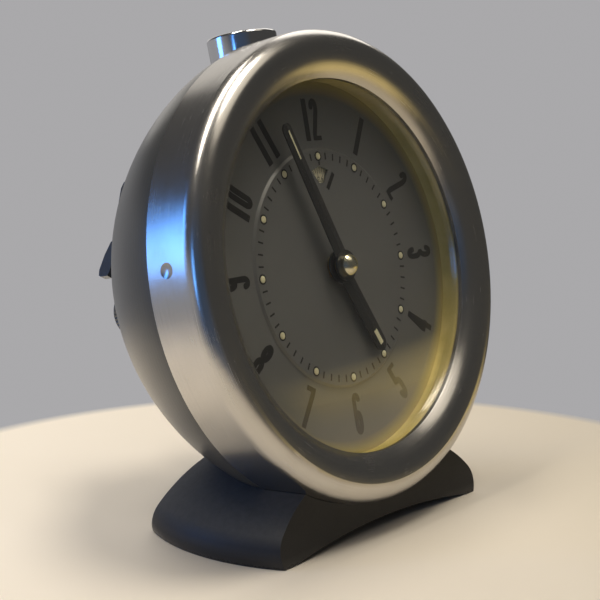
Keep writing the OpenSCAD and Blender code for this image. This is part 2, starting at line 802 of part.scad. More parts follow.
module hairspring() {
  hair_turns = 8;
  color("royalblue") in_case() at(balance_at, hairspring_layer)
    spiral_strip(arbor_r + collar, hairspring_r + end_play, hair_turns, hair_t, hair_w);
}

// Round wire wound about the local y axis
function coil_point(r, y0, y1, turns, t) =
  [r * cos(360 * turns * t), y0 + (y1 - y0) * t, r * sin(360 * turns * t)];

module button_spring() {
  turns = 6;
  rings = turns * 10;
  sides = 6;
  wire = 0.35;
  r = stem_r + 1.2;
  y0 = bridge_y + bridge_t / 2 + wire;
  y1 = button_foot - wire;
  centres = [for (i = [0:rings]) coil_point(r, y0, y1, turns, i / rings)];
  pts = [for (i = [0:rings], j = [0:sides - 1])
    let (a = 360 * turns * i / rings, b = 360 * j / sides, out = wire * cos(b))
    centres[i] + [out * cos(a), wire * sin(b), out * sin(a)]];
  walls = [for (i = [0:rings - 1], j = [0:sides - 1])
    let (k = (j + 1) % sides, p = i * sides, q = p + sides)
    each [[p + j, q + j, p + k], [p + k, q + j, q + k]]];
  caps = [[for (j = [0:sides - 1]) j], [for (j = [sides - 1:-1:0]) rings * sides + j]];
  color("gray") in_case() translate([0, 0, -button_setback]) polyhedron(pts, concat(walls, caps));
}

// Bell, hammer and shut-off button
module bell() {
  rim = bell_top + bell_h;
  slope = bell_t / 3;
  color("darkgoldenrod") in_case() at(bell_at) difference() {
    rotate_extrude() difference() {
      polygon([[0, bell_top], [bell_r - bell_flare, bell_top], [bell_r, bell_top + bell_slope], [bell_r, rim],
        [0, rim]]);
      polygon([[0, bell_top + bell_t], [bell_r - bell_flare - slope, bell_top + bell_t],
        [bell_r - bell_t, bell_top + bell_slope + slope], [bell_r - bell_t, rim + past], [0, rim + past]]);
    }
    rod(bell_screw_r + seat_fit, bell_top - past, bell_top + bell_t + past);
  }
}

module bell_screw() {
  color("slategray") in_case() at(bell_at) {
    rod(bell_post_r, rear_back, bell_top + bell_t);
    rod(bell_screw_r, bell_top + bell_t, bell_top);
    translate([0, 0, bell_top]) mirror([0, 0, 1]) screw_head(bell_screw_r * 1.9, head_t);
  }
}

module button_bridge() {
  color("goldenrod") in_case() difference() {
    union() {
      translate([-bridge_w / 2, bridge_y - bridge_t / 2, rear_face]) cube([bridge_w, bridge_t, plate_gap]);
      for (h = [front_back, rear_face + bridge_t])
        translate([-bridge_w / 2, plate_r - bridge_foot, h - bridge_t])
          cube([bridge_w, bridge_y - plate_r + bridge_foot, bridge_t]);
    }
    translate([0, bridge_y - bridge_t, -button_setback]) rotate([-90, 0, 0])
      cylinder(r = stem_r + run_fit, h = 3 * bridge_t);
  }
}

module alarm_button() {
  color("gainsboro") in_case() translate([0, 0, -button_setback]) rotate([-90, 0, 0]) {
    translate([0, 0, button_foot]) difference() {
      cylinder(r1 = button_foot_r, r2 = button_r, h = button_l, $fn = 96);
      translate([0, 0, button_l - dish_depth])
        cylinder(r1 = button_r - dish_edge - dish_depth, r2 = button_r - dish_edge + dish_depth,
          h = 2 * dish_depth, $fn = 96);
    }
    translate([0, 0, bridge_y - stem_below]) cylinder(r = stem_r, h = button_foot - bridge_y + stem_below);
  }
}

// Centre arbor, hands and motion work
module centre_arbor() {
  color("lightgray") in_case() {
    rod(centre_arbor_r, rear_back - end_play, minute_hand_h + hand_t + nut_edge / 2);
    pinion(centre_pinion_z, great_m, 0, great_layer - great_leaf, great_layer + great_t + great_leaf);
  }
}

module centre_wheel() {
  color("gold") in_case() difference() {
    union() {
      translate([0, 0, centre_layer]) wheel(centre_z, centre_m, 0, wheel_t, 4);
      rod(2.5 * centre_arbor_r, centre_layer - boss_r, centre_layer + wheel_t + leaf_front);
    }
    rod(centre_arbor_r + seat_fit, rear_face, 0);
  }
}

module cannon_pinion() {
  color("gold") in_case() difference() {
    union() {
      pinion(cannon_z, motion_m, 0, front_face + air, minute_layer + wheel_t + leaf_back);
      rod(cannon_pipe_r, front_face + air, minute_hand_h + hand_t);
    }
    rod(centre_arbor_r + run_fit, front_face - past, minute_hand_h + hand_t + past);
  }
}

// Round-ended baton with a ridge along its length, pointing along +x
module blade(len, root_w, tip_w, t) {
  end = len - tip_w / 2;
  intersection() {
    linear_extrude(t) {
      polygon([[0, -root_w / 2], [end, -tip_w / 2], [end, tip_w / 2], [0, root_w / 2]]);
      translate([end, 0]) circle(tip_w / 2);
    }
    rotate([90, 0, 90]) linear_extrude(len + 1) polygon([[-root_w, 0], [root_w, 0], [root_w, t * ridge_edge],
      [0, t], [-root_w, t * ridge_edge]]);
  }
}

module minute_hand() {
  color("#1d1e20") in_case() translate([0, 0, minute_hand_h]) difference() {
    union() {
      rotate(dial_angle(minute_place)) blade(minute_len, hand_w, hand_tip_w, hand_t);
      cylinder(r = hub_r, h = hand_t);
    }
    rod(cannon_pipe_r + seat_fit, -1, 2);
  }
}

module hour_hand() {
  color("#1d1e20") in_case() translate([0, 0, hour_hand_h]) difference() {
    union() {
      rotate(dial_angle(hour_place)) blade(hour_len, hour_hand_w, hour_tip_w, hand_t);
      cylinder(r = hub_r + collar, h = hand_t);
    }
    rod(hour_pipe_r + seat_fit, -1, 2);
  }
}

module hand_nut() {
  base = minute_hand_h + hand_t;
  dome_r = (hand_nut_r * hand_nut_r + nut_dome * nut_dome) / (2 * nut_dome);
  color("silver") in_case() difference() {
    rotate_extrude() {
      translate([0, base]) square([hand_nut_r, nut_edge]);
      intersection() {
        translate([0, base + nut_edge + nut_dome - dome_r]) circle(dome_r);
        translate([0, base + nut_edge]) square([hand_nut_r, nut_dome]);
      }
    }
    rod(centre_arbor_r + run_fit, base - past, base + nut_edge);
  }
}

module hour_wheel() {
  color("gold") in_case() difference() {
    union() {
      translate([0, 0, hour_layer]) wheel(hour_z, hour_m, hour_phase, wheel_t, 4);
      rod(hour_pipe_r, hour_layer - side_play, hour_hand_h + hand_t);
    }
    rod(cannon_pipe_r + run_fit, hour_layer - side_play - past, minute_hand_h);
  }
}

module minute_wheel() {
  color("gold") in_case() at(minute_at) difference() {
    union() {
      translate([0, 0, minute_layer]) wheel(minute_z, motion_m, minute_phase, wheel_t, 3);
      pinion(minute_pinion_z, hour_m, minute_pinion_phase, minute_layer + wheel_t,
        hour_layer + wheel_t + side_play);
    }
    rod(stud_r + run_fit, front_face, 0);
  }
}

module set_arbor() {
  color("lightgray") in_case() at(set_at) {
    rod(set_arbor_r, minute_layer + wheel_t + leaf_back, knob_face - knob_grip);
    pinion(set_pinion_z, motion_m, set_pinion_phase, minute_layer - side_play,
      minute_layer + wheel_t + side_play);
  }
}

module knob(r, len) {
  end_h = knob_face - len;
  knob_neck = 1.2;
  points = [for (i = [0:2 * knob_ridges - 1]) polar(r - (i % 2) * ridge_depth, 180 * i / knob_ridges)];
  difference() {
    union() {
      translate([0, 0, end_h + knob_edge]) linear_extrude(len - 2 * knob_edge) polygon(points);
      rod(r - 1.5 * ridge_depth, end_h, knob_face);
      rod(set_arbor_r + knob_neck, knob_face, shell_back - side_play);
    }
    rod(set_arbor_r + seat_fit, knob_face - knob_grip, 0);
  }
}

module set_knob() {
  color("#333436") in_case() at(set_at) knob(set_knob_r, knob_l);
}

module alarm_wheel() {
  color("gold") in_case() at(alarm_set_at) difference() {
    union() {
      translate([0, 0, hour_layer]) wheel(hour_z, hour_m, alarm_wheel_phase, wheel_t, 3.4);
      rod(set_arbor_r + hub_wall, front_face + end_play, hour_layer + wheel_t + side_play);
    }
    rod(set_arbor_r + run_fit, front_face - 1, 0);
  }
}

module alarm_disc() {
  disc_hub = 0.8;
  color("ivory") in_case() at(alarm_set_at) difference() {
    union() {
      rod(alarm_disc_r, disc_face, disc_face - disc_t);
      rod(set_arbor_r + disc_hub, disc_face - disc_t, hour_layer + wheel_t + disc_t);
    }
    rod(set_arbor_r + seat_fit, front_face, disc_face - disc_t / 2 + seat_fit);
  }
}

module alarm_set_arbor() {
  color("lightgray") in_case() at(alarm_set_at)
    rod(set_arbor_r, disc_face - disc_t / 2, knob_face - knob_grip);
}

module alarm_set_knob() {
  color("#333436") in_case() at(alarm_set_at) knob(alarm_knob_r, alarm_knob_l);
}

// Going train
module train_arbor() {
  rod(arbor_r, front_face + end_play, rear_back - end_play);
}

module third_wheel() {
  color("gold") in_case() at(third_at) {
    train_arbor();
    pinion(pinion_z, centre_m, third_pinion_phase, centre_layer - leaf_back,
      centre_layer + wheel_t + leaf_front);
    translate([0, 0, third_layer]) wheel(third_z, third_m, 0, wheel_t, 3);
  }
}

module fourth_wheel() {
  color("gold") in_case() at(fourth_at) {
    train_arbor();
    pinion(pinion_z, third_m, fourth_pinion_phase, third_layer - leaf_back,
      third_layer + wheel_t + leaf_front);
    translate([0, 0, fourth_layer]) wheel(fourth_z, fourth_m, 0, wheel_t, 2.4);
  }
}

module escape_wheel() {
  escape_depth = 1.6;
  color("gold") in_case() at(escape_at) {
    train_arbor();
    pinion(pinion_z, fourth_m, escape_pinion_phase, fourth_layer - leaf_back,
      fourth_layer + wheel_t + leaf_front);
    translate([0, 0, escape_layer]) difference() {
      saw_wheel(escape_z, escape_r, escape_depth, wheel_t);
      for (a = [0:90:270]) at(polar(0.45 * escape_r, a)) rod(0.15 * escape_r, -past, wheel_t + past);
    }
  }
}

// Flat bar from an axis towards another place
module bar(towards, len, w, t) {
  rotate(atan2(towards[1], towards[0])) translate([0, -w / 2, 0]) cube([len, w, t]);
}

module pallet_lever() {
  fork = balance_at - pallet_at;
  fork_gap = 3.4;
  pin_d = escape_r + air + pallet_pin_r + seat_fit;
  fork_layer = escape_layer - wheel_t - leaf_front;
  color("lightgray") in_case() {
    at(pallet_at) {
      train_arbor();
      rod(boss_r, fork_layer, fork_layer + wheel_t);
      translate([0, 0, fork_layer]) bar(fork, norm(fork) - fork_gap, lever_w, wheel_t);
    }
    for (side = [-1, 1]) {
      pin = escape_at + polar(pin_d, pallet_dir + side * pallet_span);
      arm = pin - pallet_at;
      at(pin) rod(pallet_pin_r, fork_layer, escape_layer + wheel_t);
      at(pallet_at, fork_layer) bar(arm, norm(arm) + lever_w / 2, lever_w, wheel_t);
    }
  }
}

module balance_wheel() {
  arm_w = 1.8;
  arm_t = 1;
  color("gold") in_case() at(balance_at, balance_layer) difference() {
    union() {
      tube(balance_r, balance_r - balance_rim, 0, balance_t);
      translate([-balance_r + balance_rim / 2, -arm_w / 2, (balance_t - arm_t) / 2])
        cube([2 * balance_r - balance_rim, arm_w, arm_t]);
      cylinder(r = arm_w, h = balance_t);
    }
    rod(arbor_r + seat_fit, -past, balance_t + past);
  }
}

module balance_staff() {
  roller_r = 2;
  roller_t = 0.7;
  pin_place = 1.4;
  pin_r = 0.35;
  roller_h = balance_layer + balance_t + leaf_front;
  color("lightgray") in_case() at(balance_at) {
    train_arbor();
    rod(roller_r, roller_h, roller_h + roller_t);
    translate([pin_place, 0, 0]) rod(pin_r, roller_h, roller_h + roller_t + pin_place);
  }
}

module regulator() {
  h = rear_back - regulator_t - regulator_lift;
  ring = 1.4;
  tip = -regulator_reach - finger_w / 2;
  color("lightgray") in_case() at(balance_at) difference() {
    union() {
      rod(balance_boss_r + ring, h, h + regulator_t);
      translate([-finger_w / 2, tip, h]) cube([finger_w, regulator_reach, regulator_t]);
      translate([-finger_w / 2, tip, h - regulator_finger])
        cube([finger_w, finger_w, regulator_finger + regulator_t]);
    }
    rod(balance_boss_r + run_fit, h - past, h + regulator_t + past);
  }
}

// Winding work, shared by the time and alarm sides
module great_wheel(z, m, phase) {
  difference() {
    wheel(z, m, phase, great_t, 1.5 * ratchet_r);
    rod(wind_arbor_r + run_fit, -past, great_t + past);
  }
}

module click(reach) {
  click_w = lever_w / 2;
  click_rise = 0.62;
  rod(lever_w, great_t, great_t + boss_r);
  translate([0, 0, great_t + regulator_lift]) linear_extrude(lever_w) polygon([[-click_w, 0], [click_w, 0],
    [-reach + 1.5 * click_w, reach * click_rise], [-reach + 0.4 * click_w, reach * click_rise]]);
}

module winding_arbor(layer) {
  ratchet_z = 14;
  ratchet_t = 1.4;
  tooth_depth = 0.9;
  core_wall = 1.2;
  rod(wind_arbor_r, front_face + end_play, wind_arbor_end);
  translate([0, 0, layer + great_t + side_play]) saw_wheel(ratchet_z, ratchet_r, tooth_depth, ratchet_t);
  rod(wind_arbor_r + core_wall, spring_layer - leaf_front, layer - side_play);
}

// Wing of a key: distance from its axis and height, from the hub out to the tip and back
function wing() = [[0, wind_arbor_end], [0, key_hub_end], [wind_arbor_r, key_hub_end],
  [key_span * 0.3, key_end + key_back * 0.36], [key_span * 0.55, key_end + key_back * 0.12],
  [key_span * 0.85, key_end], [key_span * 0.97, key_end + key_back * 0.1],
  [key_span, key_end + key_back * 0.3], [key_span, key_end + key_back * 0.85],
  [key_span * 0.8, key_end + key_back], [key_hub_r, key_hub_end + key_cap * 0.7]];

module winding_key() {
  difference() {
    union() {
      rod(key_hub_r, key_hub_end, shell_back + shell_wall + air);
      for (side = [0, 1]) mirror([0, side, 0]) rotate([0, 0, -90]) rotate([90, 0, 0])
        translate([0, 0, -key_t / 2]) linear_extrude(key_t) polygon(wing());
    }
    rod(wind_arbor_r + seat_fit, wind_arbor_end - end_play, 0);
  }
}

module time_great_wheel() {
  color("gold") in_case() at(time_at, great_layer) great_wheel(great_z, great_m, great_phase);
}

module time_click() {
  place = 200;
  reach = 7;
  color("steelblue") in_case() at(time_at + polar(2.2 * ratchet_r, place), great_layer)
    rotate(place) click(reach);
}

module time_arbor() {
  color("lightgray") in_case() at(time_at) winding_arbor(great_layer);
}

module time_key() {
  color("lightsteelblue") in_case() at(time_at) rotate(-key_turn) winding_key();
}

module alarm_great_wheel() {
  color("gold") in_case() at(alarm_at, alarm_layer) great_wheel(alarm_z, alarm_m, 0);
}

module alarm_click() {
  place = 60;
  reach = 5.4;
  color("steelblue") in_case() at(alarm_at + polar(1.92 * ratchet_r, place), alarm_layer)
    rotate(place) click(reach);
}

module alarm_arbor() {
  color("lightgray") in_case() at(alarm_at) winding_arbor(alarm_layer);
}

module alarm_key() {
  color("lightsteelblue") in_case() at(alarm_at) rotate(-key_turn) winding_key();
}

module strike_wheel() {
  strike_depth = 1.2;
  color("gold") in_case() at(strike_at) {
    train_arbor();
    pinion(alarm_pinion_z, alarm_m, strike_pinion_phase, alarm_layer - leaf_back,
      alarm_layer + great_t + leaf_back);
    translate([0, 0, strike_layer]) saw_wheel(strike_z, strike_r, strike_depth, wheel_t);
  }
}

// Hammer: its head meets the bell square to its arm
bell_span = bell_at - verge_at;
strike_angle = atan2(bell_span[1], bell_span[0]) - acos(-(bell_r + hammer_r + hammer_gap) / norm(bell_span));
hammer_at = bell_at + polar(bell_r + hammer_r + hammer_gap, strike_angle);
hammer_rise = 2.2;
hammer_top = bell_top + hammer_rise;

module hammer() {
  arm = hammer_at - verge_at;
  hammer_hub = 1.2;
  color("slategray") in_case() {
    difference() {
      union() {
        at(verge_at) rod(arbor_r + hammer_hub, hammer_top, hammer_top + boss_r);
        at(verge_at, hammer_top + side_play) bar(arm, norm(arm), lever_w, wheel_t);
      }
      at(verge_at) rod(arbor_r + seat_fit, hammer_top - past, hammer_top + boss_r + past);
    }
    at(hammer_at) rod(hammer_r, hammer_top - air, hammer_top + hammer_r);
  }
}

module hammer_verge() {
  back = verge_at - strike_at;
  dir = atan2(back[1], back[0]);
  color("lightgray") in_case() {
    at(verge_at) {
      rod(arbor_r, front_face + end_play, hammer_top);
      rod(boss_r, strike_layer - verge_drop, strike_layer + wheel_t);
    }
    for (side = [-1, 1]) {
      pad = strike_at + polar(strike_r + air + verge_pin_r + end_play / 2, dir + side * verge_span);
      arm = pad - verge_at;
      at(verge_at, strike_layer - verge_drop) bar(arm, norm(arm), wheel_t, wheel_t);
      at(pad) rod(verge_pin_r, strike_layer - verge_drop, strike_layer + wheel_t);
    }
  }
}

bezel();
crystal();
dial();
rear_shell();
foot();
foot_strap();
foot_screws();
front_plate();
rear_plate();
pillars();
pillar_screws();
case_posts();
case_screws();
time_mainspring();
alarm_mainspring();
bell();
bell_screw();
button_bridge();
button_spring();
hairspring();
centre_arbor();
centre_wheel();
cannon_pinion();
minute_hand();
hand_nut();
hour_wheel();
hour_hand();
minute_wheel();
set_arbor();
set_knob();
third_wheel();
fourth_wheel();
escape_wheel();
pallet_lever();
balance_wheel();
balance_staff();
regulator();
time_great_wheel();
time_click();
time_arbor();
time_key();
alarm_great_wheel();
alarm_click();
alarm_arbor();
alarm_key();
strike_wheel();
hammer();
hammer_verge();
alarm_wheel();
alarm_disc();
alarm_set_arbor();
alarm_set_knob();
alarm_button();
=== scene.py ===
"""Round wind-up table alarm clock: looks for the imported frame, in metres."""
import json
import math

import bmesh
import bpy
import numpy as np
from mathutils import Matrix, Vector
from mathutils.bvhtree import BVHTree


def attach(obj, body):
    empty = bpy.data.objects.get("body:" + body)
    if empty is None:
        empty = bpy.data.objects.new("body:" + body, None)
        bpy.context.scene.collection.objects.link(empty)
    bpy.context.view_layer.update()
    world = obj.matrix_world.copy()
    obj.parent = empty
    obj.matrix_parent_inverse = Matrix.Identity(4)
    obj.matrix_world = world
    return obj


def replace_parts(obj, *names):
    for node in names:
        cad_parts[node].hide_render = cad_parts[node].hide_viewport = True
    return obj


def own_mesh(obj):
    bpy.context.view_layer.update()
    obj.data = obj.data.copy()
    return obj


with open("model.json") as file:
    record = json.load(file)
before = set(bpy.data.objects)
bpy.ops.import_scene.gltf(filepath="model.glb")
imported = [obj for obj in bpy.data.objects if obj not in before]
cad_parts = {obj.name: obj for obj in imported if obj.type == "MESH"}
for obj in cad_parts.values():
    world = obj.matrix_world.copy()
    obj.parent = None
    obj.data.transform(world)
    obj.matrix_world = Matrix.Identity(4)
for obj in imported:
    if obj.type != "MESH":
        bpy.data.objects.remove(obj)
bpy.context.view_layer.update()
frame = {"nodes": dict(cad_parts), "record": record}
nodes = frame["nodes"]

# Case frame, in millimetres: x right, y up the dial, z from the dial to the viewer.
MM = 0.001
LEAN = math.radians(12)
DIAL_CENTRE = Vector((0, -3.5, 62.1)) * MM
TILT = math.pi / 2 - LEAN
CASE = (Matrix.Translation(DIAL_CENTRE) @ Matrix.Rotation(TILT, 4, "X")
        @ Matrix.Scale(MM, 4))

RING_H = -0.5           # dial ring that carries the hour numbers
RAISED_H = 0.0          # raised middle of the dial
DISC_H = -0.9           # front of the alarm disc
SKIRT_R = 45.4          # inside of the crystal's skirt
FLANGE_R = 46.8         # outside of the crystal
LIP_R = 45.0            # opening of the bezel
LEDGE_H = 5.5           # crystal's front at the bezel's lip
RISE = 5.0              # crystal's dome over its edge
CRYSTAL_T = 1.2         # thickness of the crystal
PRINT_T = 0.045         # thickness of printed paint
DISC_PRINT_T = 0.02     # the same on the alarm disc, close behind the dial
SUNK = 0.02             # how far a print starts under its surface
SHARP = math.radians(30)    # edges that turn more than this aren't shaded smooth

# Lowest and highest point of a print on each surface.
RING_PRINT = (RING_H - SUNK, RING_H + PRINT_T)
RAISED_PRINT = (RAISED_H - SUNK, RAISED_H + PRINT_T)
DISC_PRINT = (DISC_H - SUNK, DISC_H + DISC_PRINT_T)


# Shaders

def socket_name(key):
    """Name of a Principled socket, from a keyword such as coat_weight."""
    return key.replace("_", " ").title().replace("Ior", "IOR")


class Nodes:
    """A shader tree under construction, with short calls for the nodes used here."""

    def __init__(self, tree):
        self.tree = tree

    def add(self, kind, ins=None, **attrs):
        node = self.tree.nodes.new("ShaderNode" + kind)
        for key, value in attrs.items():
            setattr(node, key, value)
        for key, value in (ins or {}).items():
            if isinstance(value, bpy.types.NodeSocket):
                self.tree.links.new(value, node.inputs[key])
            else:
                node.inputs[key].default_value = value
        return node

    def split(self, vector):
        return self.add("SeparateXYZ", {0: vector}).outputs

    def join(self, x, y, z):
        return self.add("CombineXYZ", {0: x, 1: y, 2: z}).outputs[0]

    def math(self, op, a, b=0.0):
        return self.add("Math", {0: a, 1: b}, operation=op).outputs[0]

    def times(self, a, b):
        return self.math("MULTIPLY", a, b)

    def stretch(self, vector, scale):
        """A place with each of its coordinates multiplied."""
        return self.join(*[self.times(c, k) for c, k in zip(self.split(vector), scale)])

    def dot(self, vector, axis):
        node = self.add("VectorMath", {0: vector, 1: axis}, operation="DOT_PRODUCT")
        return node.outputs["Value"]

    def about(self, vector, centre=(0, 0)):
        """Radius, angle and height about an axis along z."""
        x, y, z = self.split(vector)
        x = self.math("SUBTRACT", x, centre[0])
        y = self.math("SUBTRACT", y, centre[1])
        square = self.math("ADD", self.times(x, x), self.times(y, y))
        return self.math("SQRT", square), self.math("ARCTAN2", y, x), z

    def noise(self, vector, scale, detail=3.0, rough=0.55):
        return self.add("TexNoise", {"Vector": vector, "Scale": scale, "Detail": detail,
                                     "Roughness": rough}).outputs["Fac"]

    def span(self, value, lo, hi, to_lo=0.0, to_hi=1.0):
        return self.add("MapRange", {"Value": value, "From Min": lo, "From Max": hi,
                                     "To Min": to_lo, "To Max": to_hi}).outputs[0]

    def mix(self, fac, a, b):
        node = self.add("Mix", data_type="RGBA")
        for index, value in ((0, fac), (6, a), (7, b)):
            if isinstance(value, bpy.types.NodeSocket):
                self.tree.links.new(value, node.inputs[index])
            else:
                node.inputs[index].default_value = value if index == 0 else (*value[:3], 1)
        return node.outputs[2]

    def bump(self, height, distance):
        return self.add("Bump", {"Height": height, "Distance": distance,
                                 "Strength": 1.0}).outputs[0]


class Shader(Nodes):
    """A material under construction: one Principled shader and the nodes that feed it."""

    def __init__(self, name, **sockets):
        self.mat = bpy.data.materials.new(name)
        self.mat.use_nodes = True
        super().__init__(self.mat.node_tree)
        self.bsdf = self.tree.nodes["Principled BSDF"]
        self.out = self.tree.nodes["Material Output"]
        for key, value in sockets.items():
            self.bsdf.inputs[socket_name(key)].default_value = value

    def feed(self, **links):
        for key, socket in links.items():
            self.tree.links.new(socket, self.bsdf.inputs[socket_name(key)])

    def give_way(self, fac, other):
        """Surface that changes from the Principled shader to another one."""
        pick = self.add("MixShader", {0: fac, 1: self.bsdf.outputs[0], 2: other.outputs[0]})
        self.tree.links.new(pick.outputs[0], self.out.inputs["Surface"])

    def table(self):
        """World place at rest, in millimetres."""
        return self.add("Mapping", {"Vector": self.add("TexCoord").outputs["Object"],
                                    "Scale": (1 / MM, 1 / MM, 1 / MM)}).outputs[0]

    def case(self):
        """Place in the case frame, in millimetres."""
        return self.add("Mapping", {"Vector": self.add("TexCoord").outputs["Object"],
                                    "Location": DIAL_CENTRE, "Rotation": (TILT, 0, 0),
                                    "Scale": (MM, MM, MM)}, vector_type="TEXTURE").outputs[0]


def shade(rgb, k):
    return tuple(min(1, c * k) for c in rgb)


LUME_STAIN = (0.52, 0.44, 0.24)
ACRYLIC_CLEAR = (0.985, 0.98, 0.955)
ACRYLIC_AGED = (0.66, 0.55, 0.16), (0.84, 0.71, 0.27)
# Olive glow painted on the dial's edge, for light that comes through the crystal's yellowed skirt.
DIAL_SKIRT_GLOW = (0.58, 0.48, 0.15)
FOOT_DUST_AND_SHEEN = (0.078, 0.077, 0.075)


def brushed(name, rgb, rough, along="turn", centre=(0, 0), grain=9.0, depth=0.004,
            tarnish=0.25, contrast=1.0):
    """Metal with fine brush lines round an axis of the case ("turn") or along its y ("up")."""
    s = Shader(name, metallic=1.0)
    at = s.case()
    if along == "turn":
        lines = s.stretch(s.join(*s.about(at, centre)), (grain, 1.2, grain))
    else:
        lines = s.stretch(at, (grain, 0.25, grain))
    hair = s.noise(lines, 1.0, detail=4.0, rough=0.7)
    cloud = s.noise(at, 0.09, detail=4.0)
    speck = s.noise(at, 1.7, detail=5.0, rough=0.75)
    tone = s.mix(s.span(hair, 0.3, 0.7),
                 shade(rgb, 1 - 0.14 * contrast), shade(rgb, 1 + 0.08 * contrast))
    tone = s.mix(s.times(s.span(cloud, 0.45, 0.75), tarnish), tone, shade(rgb, 0.62))
    tone = s.mix(s.times(s.span(speck, 0.66, 0.74), tarnish), tone, shade(rgb, 0.45))
    polish = s.span(hair, 0.25, 0.75, rough - 0.06 * contrast, rough + 0.07 * contrast)
    s.feed(base_color=tone,
           roughness=s.math("ADD", polish, s.span(cloud, 0.4, 0.8, 0.0, 0.06)),
           normal=s.bump(hair, depth * MM))
    return s.mat


def painted(name, rgb, rough, peel=0.9, peel_depth=0.01, scuff=0.3, coat=0.0):
    """Sprayed paint: orange peel, faint clouds, dust and scuffs."""
    s = Shader(name, coat_weight=coat, coat_roughness=0.25)
    at = s.table()
    skin = s.noise(at, peel, rough=0.5)
    fine = s.noise(at, peel * 6, detail=4.0, rough=0.7)
    cloud = s.noise(at, 0.05)
    scar = s.noise(s.stretch(at, (0.35, 0.35, 2.2)), 1.0, detail=5.0, rough=0.7)
    tone = s.mix(s.span(cloud, 0.3, 0.7), shade(rgb, 0.88), shade(rgb, 1.12))
    tone = s.mix(s.times(s.span(fine, 0.62, 0.8), 0.35), tone, shade(rgb, 1.9))
    tone = s.mix(s.times(s.span(scar, 0.68, 0.78), scuff), tone, shade(rgb, 2.6))
    polish = s.span(fine, 0.3, 0.7, rough - 0.05, rough + 0.05)
    s.feed(base_color=tone,
           roughness=s.math("ADD", polish, s.span(scar, 0.6, 0.8, 0.0, 0.1)),
           normal=s.bump(s.math("ADD", skin, s.times(fine, 0.35)), peel_depth * MM))
    return s.mat


def luminous_paint(name, rgb):
    """Aged luminous paint: grainy, a little stained."""
    s = Shader(name, roughness=0.75)
    at = s.table()
    grain = s.noise(at, 5.0, detail=5.0, rough=0.75)
    stain = s.noise(at, 0.5)
    tone = s.mix(s.span(grain, 0.3, 0.7), shade(rgb, 0.86), shade(rgb, 1.08))
    tone = s.mix(s.span(stain, 0.55, 0.75, 0.0, 0.35), tone, LUME_STAIN)
    s.feed(base_color=tone, normal=s.bump(grain, 0.03 * MM))
    return s.mat


def print_ink(name, rgb):
    """Printed enamel: slightly uneven film."""
    s = Shader(name)
    film = s.noise(s.table(), 2.5, detail=4.0, rough=0.7)
    s.feed(base_color=s.mix(s.span(film, 0.3, 0.7), rgb, shade(rgb, 1.7)),
           roughness=s.span(film, 0.3, 0.7, 0.32, 0.46),
           normal=s.bump(film, 0.006 * MM))
    return s.mat


def crystal_plastic(name):
    """Clear acrylic with a yellowed, clouded skirt; lamps reach the dial through it."""
    s = Shader(name, ior=1.49)
    at = s.case()
    haze = s.noise(at, 0.35, detail=4.0, rough=0.6)
    cloud = s.noise(at, 0.12)
    skirt = s.span(s.about(at)[0], SKIRT_R - 0.4, SKIRT_R)
    tint = s.mix(skirt, ACRYLIC_CLEAR, s.mix(s.span(cloud, 0.3, 0.7), *ACRYLIC_AGED))
    polish = s.span(haze, 0.4, 0.8, 0.008, 0.03)
    s.feed(base_color=tint,
           transmission_weight=s.span(skirt, 0.0, 1.0, 1.0, 0.3),
           roughness=s.math("ADD", polish, s.times(skirt, 0.3)))
    s.give_way(s.add("LightPath").outputs["Is Shadow Ray"],
               s.add("BsdfTransparent", {"Color": tint}))
    return s.mat


def dial_paint(name, rgb):
    """Satin metallic dial lacquer with a fine upright grain, painted shade toward its rim and an
    olive ring painted along its edge for the light that comes yellowed through the crystal's skirt.
    """
    s = Shader(name, metallic=0.4)
    at = s.case()
    r = s.about(at)[0]
    grain = s.noise(s.stretch(at, (6.0, 0.8, 0.0)), 1.0, detail=4.0, rough=0.7)
    fleck = s.noise(at, 9.0, rough=0.7)
    cloud = s.noise(at, 0.06)
    tone = s.mix(s.span(grain, 0.3, 0.7), shade(rgb, 0.92), shade(rgb, 1.07))
    tone = s.mix(s.span(fleck, 0.5, 0.8, 0.0, 0.3), tone, shade(rgb, 1.5))
    tone = s.mix(s.span(cloud, 0.4, 0.8, 0.0, 0.25), tone, shade(rgb, 0.75))
    # Painted shade: the dial darkens toward its rim, under the bezel's lip.
    tone = s.mix(s.span(r, 36.0, 50.0, 0.0, 0.35), tone, shade(rgb, 0.6))
    # Painted glow: an olive ring near the edge, for light that comes yellowed through the crystal's
    # skirt.
    tone = s.mix(s.span(r, SKIRT_R - 3.6, SKIRT_R - 0.6, 0.0, 0.75), tone, DIAL_SKIRT_GLOW)
    s.feed(base_color=tone,
           roughness=s.span(fleck, 0.3, 0.7, 0.4, 0.5),
           normal=s.bump(grain, 0.004 * MM))
    return s.mat


def foot_paint(name, rgb):
    """Matt black paint, lighter on top with dust and a painted sheen, and worn smoother along the
    lower lip.
    """
    s = Shader(name, specular_ior_level=0.45)
    at = s.table()
    height = s.split(at)[2]
    grain = s.noise(at, 2.2, detail=4.0, rough=0.65)
    cloud = s.noise(at, 0.07)
    rub = s.noise(at, 0.6, detail=5.0, rough=0.7)
    low = s.span(s.math("ADD", height, s.times(rub, 1.4)), 1.2, 3.2, 1.0, 0.0)
    tone = s.mix(s.span(cloud, 0.3, 0.7), shade(rgb, 0.85), shade(rgb, 1.2))
    tone = s.mix(s.span(grain, 0.6, 0.8, 0.0, 0.4), tone, shade(rgb, 2.0))
    tone = s.mix(s.times(low, 0.35), tone, shade(rgb, 2.4))
    # Lighter on upward faces: dust, and a painted sheen of light from above.
    up = s.split(s.add("NewGeometry").outputs["Normal"])[2]
    dust_and_sheen = s.times(s.span(up, 0.3, 0.75), s.span(rub, 0.2, 0.7, 0.6, 1.0))
    tone = s.mix(dust_and_sheen, tone, FOOT_DUST_AND_SHEEN)
    matt = s.span(grain, 0.3, 0.7, 0.5, 0.6)
    s.feed(base_color=tone,
           roughness=s.math("SUBTRACT", matt, s.times(low, 0.28)),
           normal=s.bump(grain, 0.03 * MM))
    return s.mat


